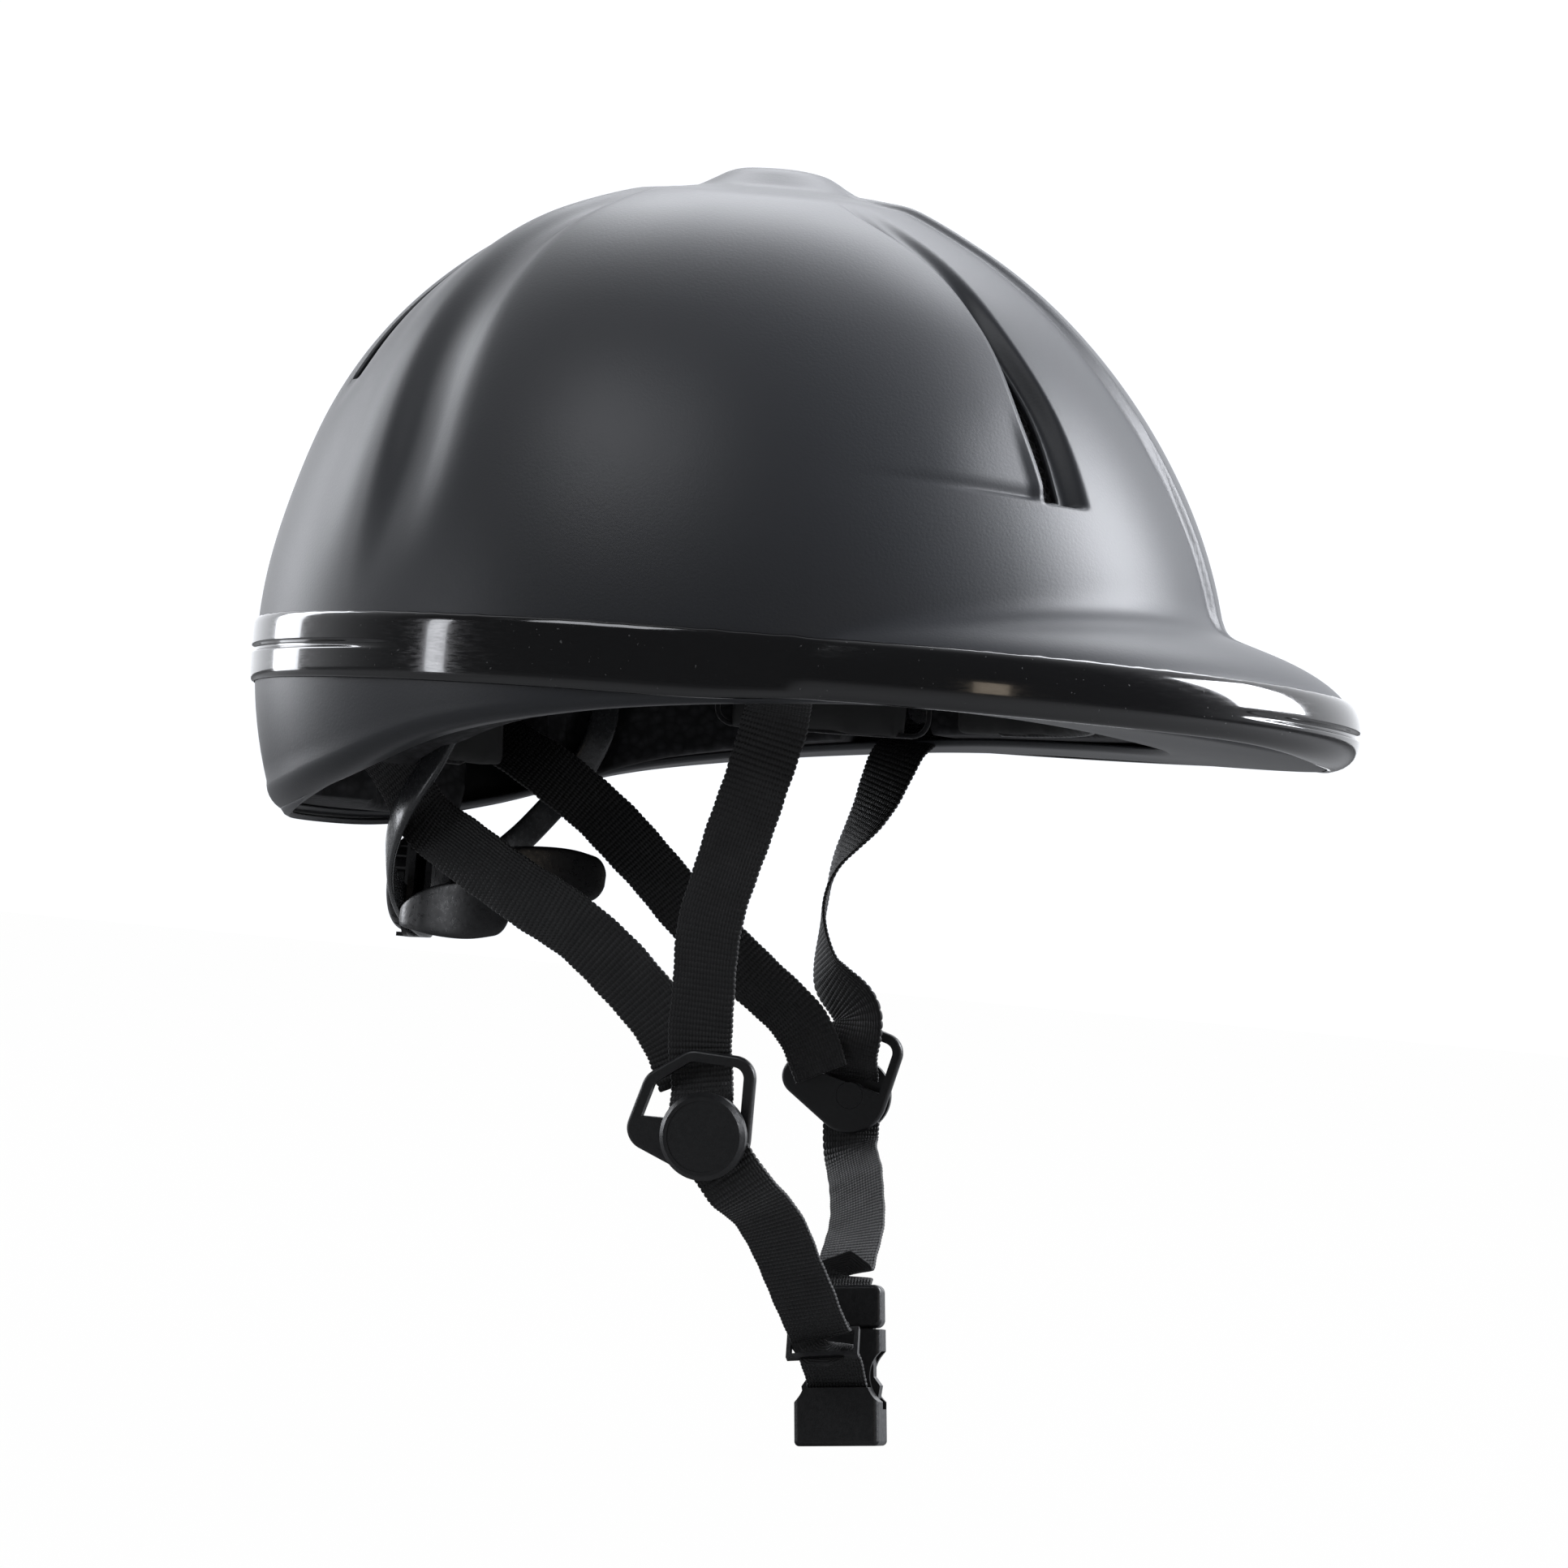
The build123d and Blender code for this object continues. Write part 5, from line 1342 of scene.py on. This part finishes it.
NODE_SLOTS = {
    "hook_patches": "hook_tape",
    "anchor_rivets": "rivet",
    "divider_plate_left": "hardware",
    "divider_plate_right": "hardware",
    "divider_cap_left": "hardware",
    "divider_cap_right": "hardware",
    "buckle_female": "hardware",
    "buckle_male": "hardware",
    "buckle_prong_front": "hardware",
    "buckle_prong_rear": "hardware",
    "strap_keeper": "hardware",
    "dial_knob": "cradle_plastic",
    "dial_pinion": "gear_plastic",
    "dial_screw": "screw_steel",
    "dial_guard": "cradle_plastic",
    "click_spring": "gear_plastic",
    "rack_case": "cradle_plastic",
}


def install(piece, material, body="helmet", replaces=None):
    """Finishes a new piece: its material, the body it rides and the frame node it stands for."""
    piece.data.materials.append(MATERIALS[material])
    if body is not None:
        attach(piece, body)
    if replaces is not None:
        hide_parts(replaces)
    return piece


# ---------------------------------------------------------------- stage, lights and camera

AIM = Vector((17.5, 0.0, -25.0)) * MM
CAMERA_TURN = math.radians(13.0)
CAMERA_LIFT = math.radians(-2.0)
CAMERA_ROLL = math.radians(5.0)
CAMERA_DISTANCE = 1000.0 * MM
FOCAL_LENGTH = 81.06
SENSOR_WIDTH = 36.0
NEAR_LIGHT = 0.10
BACK_LIGHT = 1.4
COOL = (0.93, 0.95, 1.0)
WARM = (1.0, 0.84, 0.66)
# Each light's place and aim in metres, its width and height, its power in watts and its colour.
LIGHTS = {
    "key": ((-0.7, -1.4, 1.3), (0, 0, 0.05), 0.8, 0.8, 9.0, COOL),
    "front": ((1.5, 0.25, 0.85), (0.08, 0, 0.02), 0.9, 1.1, 70.0, COOL),
    "rear": ((-1.5, 0.45, 0.45), (0, 0, 0), 0.45, 1.3, 12.0, COOL),
    "strip": ((-1.4, -1.0, 0.06), (-0.06, -0.1, 0), 0.14, 0.8, 3.0, COOL),
    "warm": ((0.72, -1.5, 0.05), (0.055, -0.1, 0), 0.2, 0.3, 0.4, WARM),
    "top": ((-0.1, 0.9, 1.7), (0, 0, 0), 1.6, 1.0, 26.0, COOL),
}


def place_camera():
    """Camera on a sphere round the aim, turned and rolled to its view."""
    back = Vector(
        (
            math.sin(CAMERA_TURN) * math.cos(CAMERA_LIFT),
            -math.cos(CAMERA_TURN) * math.cos(CAMERA_LIFT),
            math.sin(CAMERA_LIFT),
        )
    )
    right = Vector((0, 0, 1)).cross(back).normalized()
    up = back.cross(right)
    rolled_right = math.cos(CAMERA_ROLL) * right + math.sin(CAMERA_ROLL) * up
    rolled_up = -math.sin(CAMERA_ROLL) * right + math.cos(CAMERA_ROLL) * up
    camera = bpy.data.objects.new("camera", bpy.data.cameras.new("camera"))
    bpy.context.scene.collection.objects.link(camera)
    camera.data.lens = FOCAL_LENGTH
    camera.data.sensor_width = SENSOR_WIDTH
    place = AIM + back * CAMERA_DISTANCE
    axes = Matrix((rolled_right, rolled_up, back)).transposed().to_4x4()
    camera.matrix_world = Matrix.Translation(place) @ axes
    bpy.context.scene.camera = camera


def area_light(name, place, aim, width, height, power, colour):
    light = bpy.data.lights.new(name, "AREA")
    light.shape = "RECTANGLE"
    light.size, light.size_y = width, height
    light.energy = power
    light.color = colour
    holder = bpy.data.objects.new(name, light)
    holder.location = place
    holder.rotation_euler = (Vector(aim) - Vector(place)).to_track_quat("-Z", "Y").to_euler()
    bpy.context.scene.collection.objects.link(holder)
    return holder


def build_floor():
    """Pale floor just under the buckle, with a faint mottle."""
    low = min(corner.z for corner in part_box("buckle_female")) - 3.0 * MM
    half = 6.0
    points = np.array([(-half, -half, low), (half, -half, low), (half, half, low), (-half, half, low)]) / MM
    floor = mesh_object("floor", points, [np.array([[0, 1, 2, 3]])])
    n = Nodes("floor_paint")
    mottle = n.noise(n.object_space(), 3.0, 4.0)
    n.link(n.mix_colour(mottle, (0.16, 0.16, 0.16), (0.19, 0.19, 0.19)), n.shader.inputs["Base Color"])
    n.set(roughness=0.9, specular_ior_level=0.1)
    glow = n.add("ShaderNodeEmission", inputs={"Color": (1.0, 1.0, 1.0, 1.0), "Strength": 1.0})
    seen = n.add("ShaderNodeLightPath")
    share = n.spread(seen.outputs["Is Camera Ray"], 0.0, 1.0, 0.0, 0.99)
    both = n.add("ShaderNodeMixShader", inputs={"Fac": share})
    n.link(n.shader.outputs["BSDF"], both.inputs[1])
    n.link(glow.outputs["Emission"], both.inputs[2])
    n.link(both.outputs["Shader"], n.output.inputs["Surface"])
    floor.data.materials.append(n.material)


def light_stage():
    """White backdrop that lights from behind and above, with large soft lights round it."""
    world = bpy.data.worlds.new("studio")
    world.use_nodes = True
    tree = world.node_tree
    background = tree.nodes["Background"]
    background.inputs["Color"].default_value = (0.94, 0.96, 1.0, 1.0)
    where = tree.nodes.new("ShaderNodeTexCoord")
    parts = tree.nodes.new("ShaderNodeSeparateXYZ")
    tree.links.new(where.outputs["Generated"], parts.inputs[0])
    behind = tree.nodes.new("ShaderNodeMapRange")
    behind.interpolation_type = "SMOOTHSTEP"
    for key, value in {"From Min": -0.5, "From Max": 0.8, "To Min": NEAR_LIGHT, "To Max": BACK_LIGHT}.items():
        behind.inputs[key].default_value = value
    tree.links.new(parts.outputs["Y"], behind.inputs["Value"])
    seen = tree.nodes.new("ShaderNodeLightPath")
    share = tree.nodes.new("ShaderNodeMix")
    share.inputs["B"].default_value = 1.1
    tree.links.new(seen.outputs["Is Camera Ray"], share.inputs["Factor"])
    tree.links.new(behind.outputs["Result"], share.inputs["A"])
    tree.links.new(share.outputs["Result"], background.inputs["Strength"])
    bpy.context.scene.world = world
    bpy.context.scene.view_settings.view_transform = "Standard"
    for name, settings in LIGHTS.items():
        area_light(name, *settings)


# ---------------------------------------------------------------- operators


class HELMET_OT_materials(bpy.types.Operator):
    """Make the finishes and put them on the frame's own pieces."""

    bl_idname = "helmet.materials"
    bl_label = "Finishes"

    def execute(self, context):
        MATERIALS.update(make_materials(context.scene))
        for node, slot in NODE_SLOTS.items():
            dress(node, MATERIALS[slot])
        return {"FINISHED"}


class HELMET_OT_shells(bpy.types.Operator):
    """Build the upper and lower outer shells."""

    bl_idname = "helmet.shells"
    bl_label = "Outer shells"

    def execute(self, context):
        install(build_upper_shell(context.scene.helmet_shell), "shell", replaces="upper_shell")
        install(build_lower_shell(), "shell", replaces="lower_shell")
        return {"FINISHED"}


class HELMET_OT_band(bpy.types.Operator):
    """Build the gloss band over the seam."""

    bl_idname = "helmet.band"
    bl_label = "Seam band"

    def execute(self, context):
        install(build_trim(context.scene.helmet_trim), "trim", replaces="trim_band")
        return {"FINISHED"}


class HELMET_OT_liner(bpy.types.Operator):
    """Build the foam liner."""

    bl_idname = "helmet.liner"
    bl_label = "Foam liner"

    def execute(self, context):
        install(build_foam(context.scene.helmet_shell), "foam", replaces="foam_liner")
        return {"FINISHED"}


class HELMET_OT_cradle(bpy.types.Operator):
    """Build the fit cradle's yoke and its two wings."""

    bl_idname = "helmet.cradle"
    bl_label = "Fit cradle"

    def execute(self, context):
        for piece in build_yoke():
            install(piece, "yoke_tone_and_painted_highlight", replaces="yoke")
        for side, side_name in SIDE_NAMES.items():
            wing = f"wing_{side_name}"
            install(build_wing(side), "cradle_plastic", body=wing, replaces=wing)
        return {"FINISHED"}


class HELMET_OT_vents(bpy.types.Operator):
    """Build the nets behind the vents."""

    bl_idname = "helmet.vents"
    bl_label = "Vent nets"

    def execute(self, context):
        settings = context.scene.helmet_shell
        kinds = {
            "front": (FRONT_VENT_LIFTS, VENT_EDGE, front_vent_width),
            "rear": (REAR_VENT_LIFTS, REAR_VENT_NEAR, rear_vent_width),
        }
        for place, (lifts, near_line, width_of) in kinds.items():
            for side, side_name in SIDE_NAMES.items():
                net = build_vent_net(f"net_{place}_{side_name}", side, lifts, near_line, width_of, settings)
                install(net, "vent_net", replaces=f"vent_mesh_{place}_{side_name}")
        return {"FINISHED"}


class HELMET_OT_harness(bpy.types.Operator):
    """Build the ribbed webbing of the chin harness."""

    bl_idname = "helmet.harness"
    bl_label = "Chin harness"

    def execute(self, context):
        settings = context.scene.helmet_harness
        for side, side_name in SIDE_NAMES.items():
            front = front_route(side)
            twist = FRONT_TWIST if side == LEFT else None
            across = strap_across(front, side)
            strap = build_webbing(f"webbing_front_{side_name}", front, across, settings, twist)
            install(strap, "webbing", replaces=f"front_strap_{side_name}")
            rear = rear_route(side)
            strap = build_webbing(f"webbing_rear_{side_name}", rear, strap_across(rear, side), settings)
            install(strap, "webbing", replaces=f"rear_strap_{side_name}")
        chin = chin_route(RIGHT)
        strap = build_webbing("webbing_chin_right", chin, strap_across(chin, RIGHT, held=3), settings)
        install(strap, "webbing", replaces="chin_strap_right")
        chin = chin_route(LEFT)
        strap = build_webbing("webbing_chin_left", chin, strap_across(chin, LEFT, held=2), settings)
        install(strap, "webbing", body=None, replaces="chin_strap_left")
        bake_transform(strap)
        return {"FINISHED"}


class HELMET_OT_pads(bpy.types.Operator):
    """Build the soft pads and their piping."""

    bl_idname = "helmet.pads"
    bl_label = "Pads"

    def execute(self, context):
        settings = context.scene.helmet_pads
        for node in (*PAD_WINDOWS, "crown_pad"):
            pad = install(build_pad(node, settings), "padding", replaces=node)
            if node in PAD_WINDOWS:
                install(build_welt(node + "_welt", pad_edge(node), WELT_RADIUS), "welt")
        return {"FINISHED"}


class HELMET_OT_stage(bpy.types.Operator):
    """Set the floor, the soft lights and the camera."""

    bl_idname = "helmet.stage"
    bl_label = "Stage"

    def execute(self, context):
        build_floor()
        light_stage()
        place_camera()
        return {"FINISHED"}


class HELMET_PT_build(bpy.types.Panel):
    """Sidebar panel with the helmet's settings and builders."""

    bl_label = "Riding Helmet"
    bl_space_type = "VIEW_3D"
    bl_region_type = "UI"
    bl_category = "Helmet"

    def draw(self, context):
        for name, group in SETTINGS.items():
            box = self.layout.box()
            for prop in group.__annotations__:
                box.prop(getattr(context.scene, name), prop)
        for operator in OPERATORS:
            self.layout.operator(operator.bl_idname)


SETTINGS = {
    "helmet_shell": ShellSettings,
    "helmet_trim": TrimSettings,
    "helmet_harness": HarnessSettings,
    "helmet_pads": PadSettings,
}
OPERATORS = (
    HELMET_OT_materials,
    HELMET_OT_shells,
    HELMET_OT_band,
    HELMET_OT_liner,
    HELMET_OT_vents,
    HELMET_OT_cradle,
    HELMET_OT_harness,
    HELMET_OT_pads,
    HELMET_OT_stage,
)


def register():
    for cls in (*SETTINGS.values(), *OPERATORS, HELMET_PT_build):
        bpy.utils.register_class(cls)
    for name, group in SETTINGS.items():
        setattr(bpy.types.Scene, name, PointerProperty(type=group))


def unregister():
    for name in SETTINGS:
        delattr(bpy.types.Scene, name)
    for cls in reversed((*SETTINGS.values(), *OPERATORS, HELMET_PT_build)):
        bpy.utils.unregister_class(cls)


def main():
    register()
    for operator in OPERATORS:
        space, name = operator.bl_idname.split(".")
        getattr(getattr(bpy.ops, space), name)()


if __name__ == "__main__":
    main()
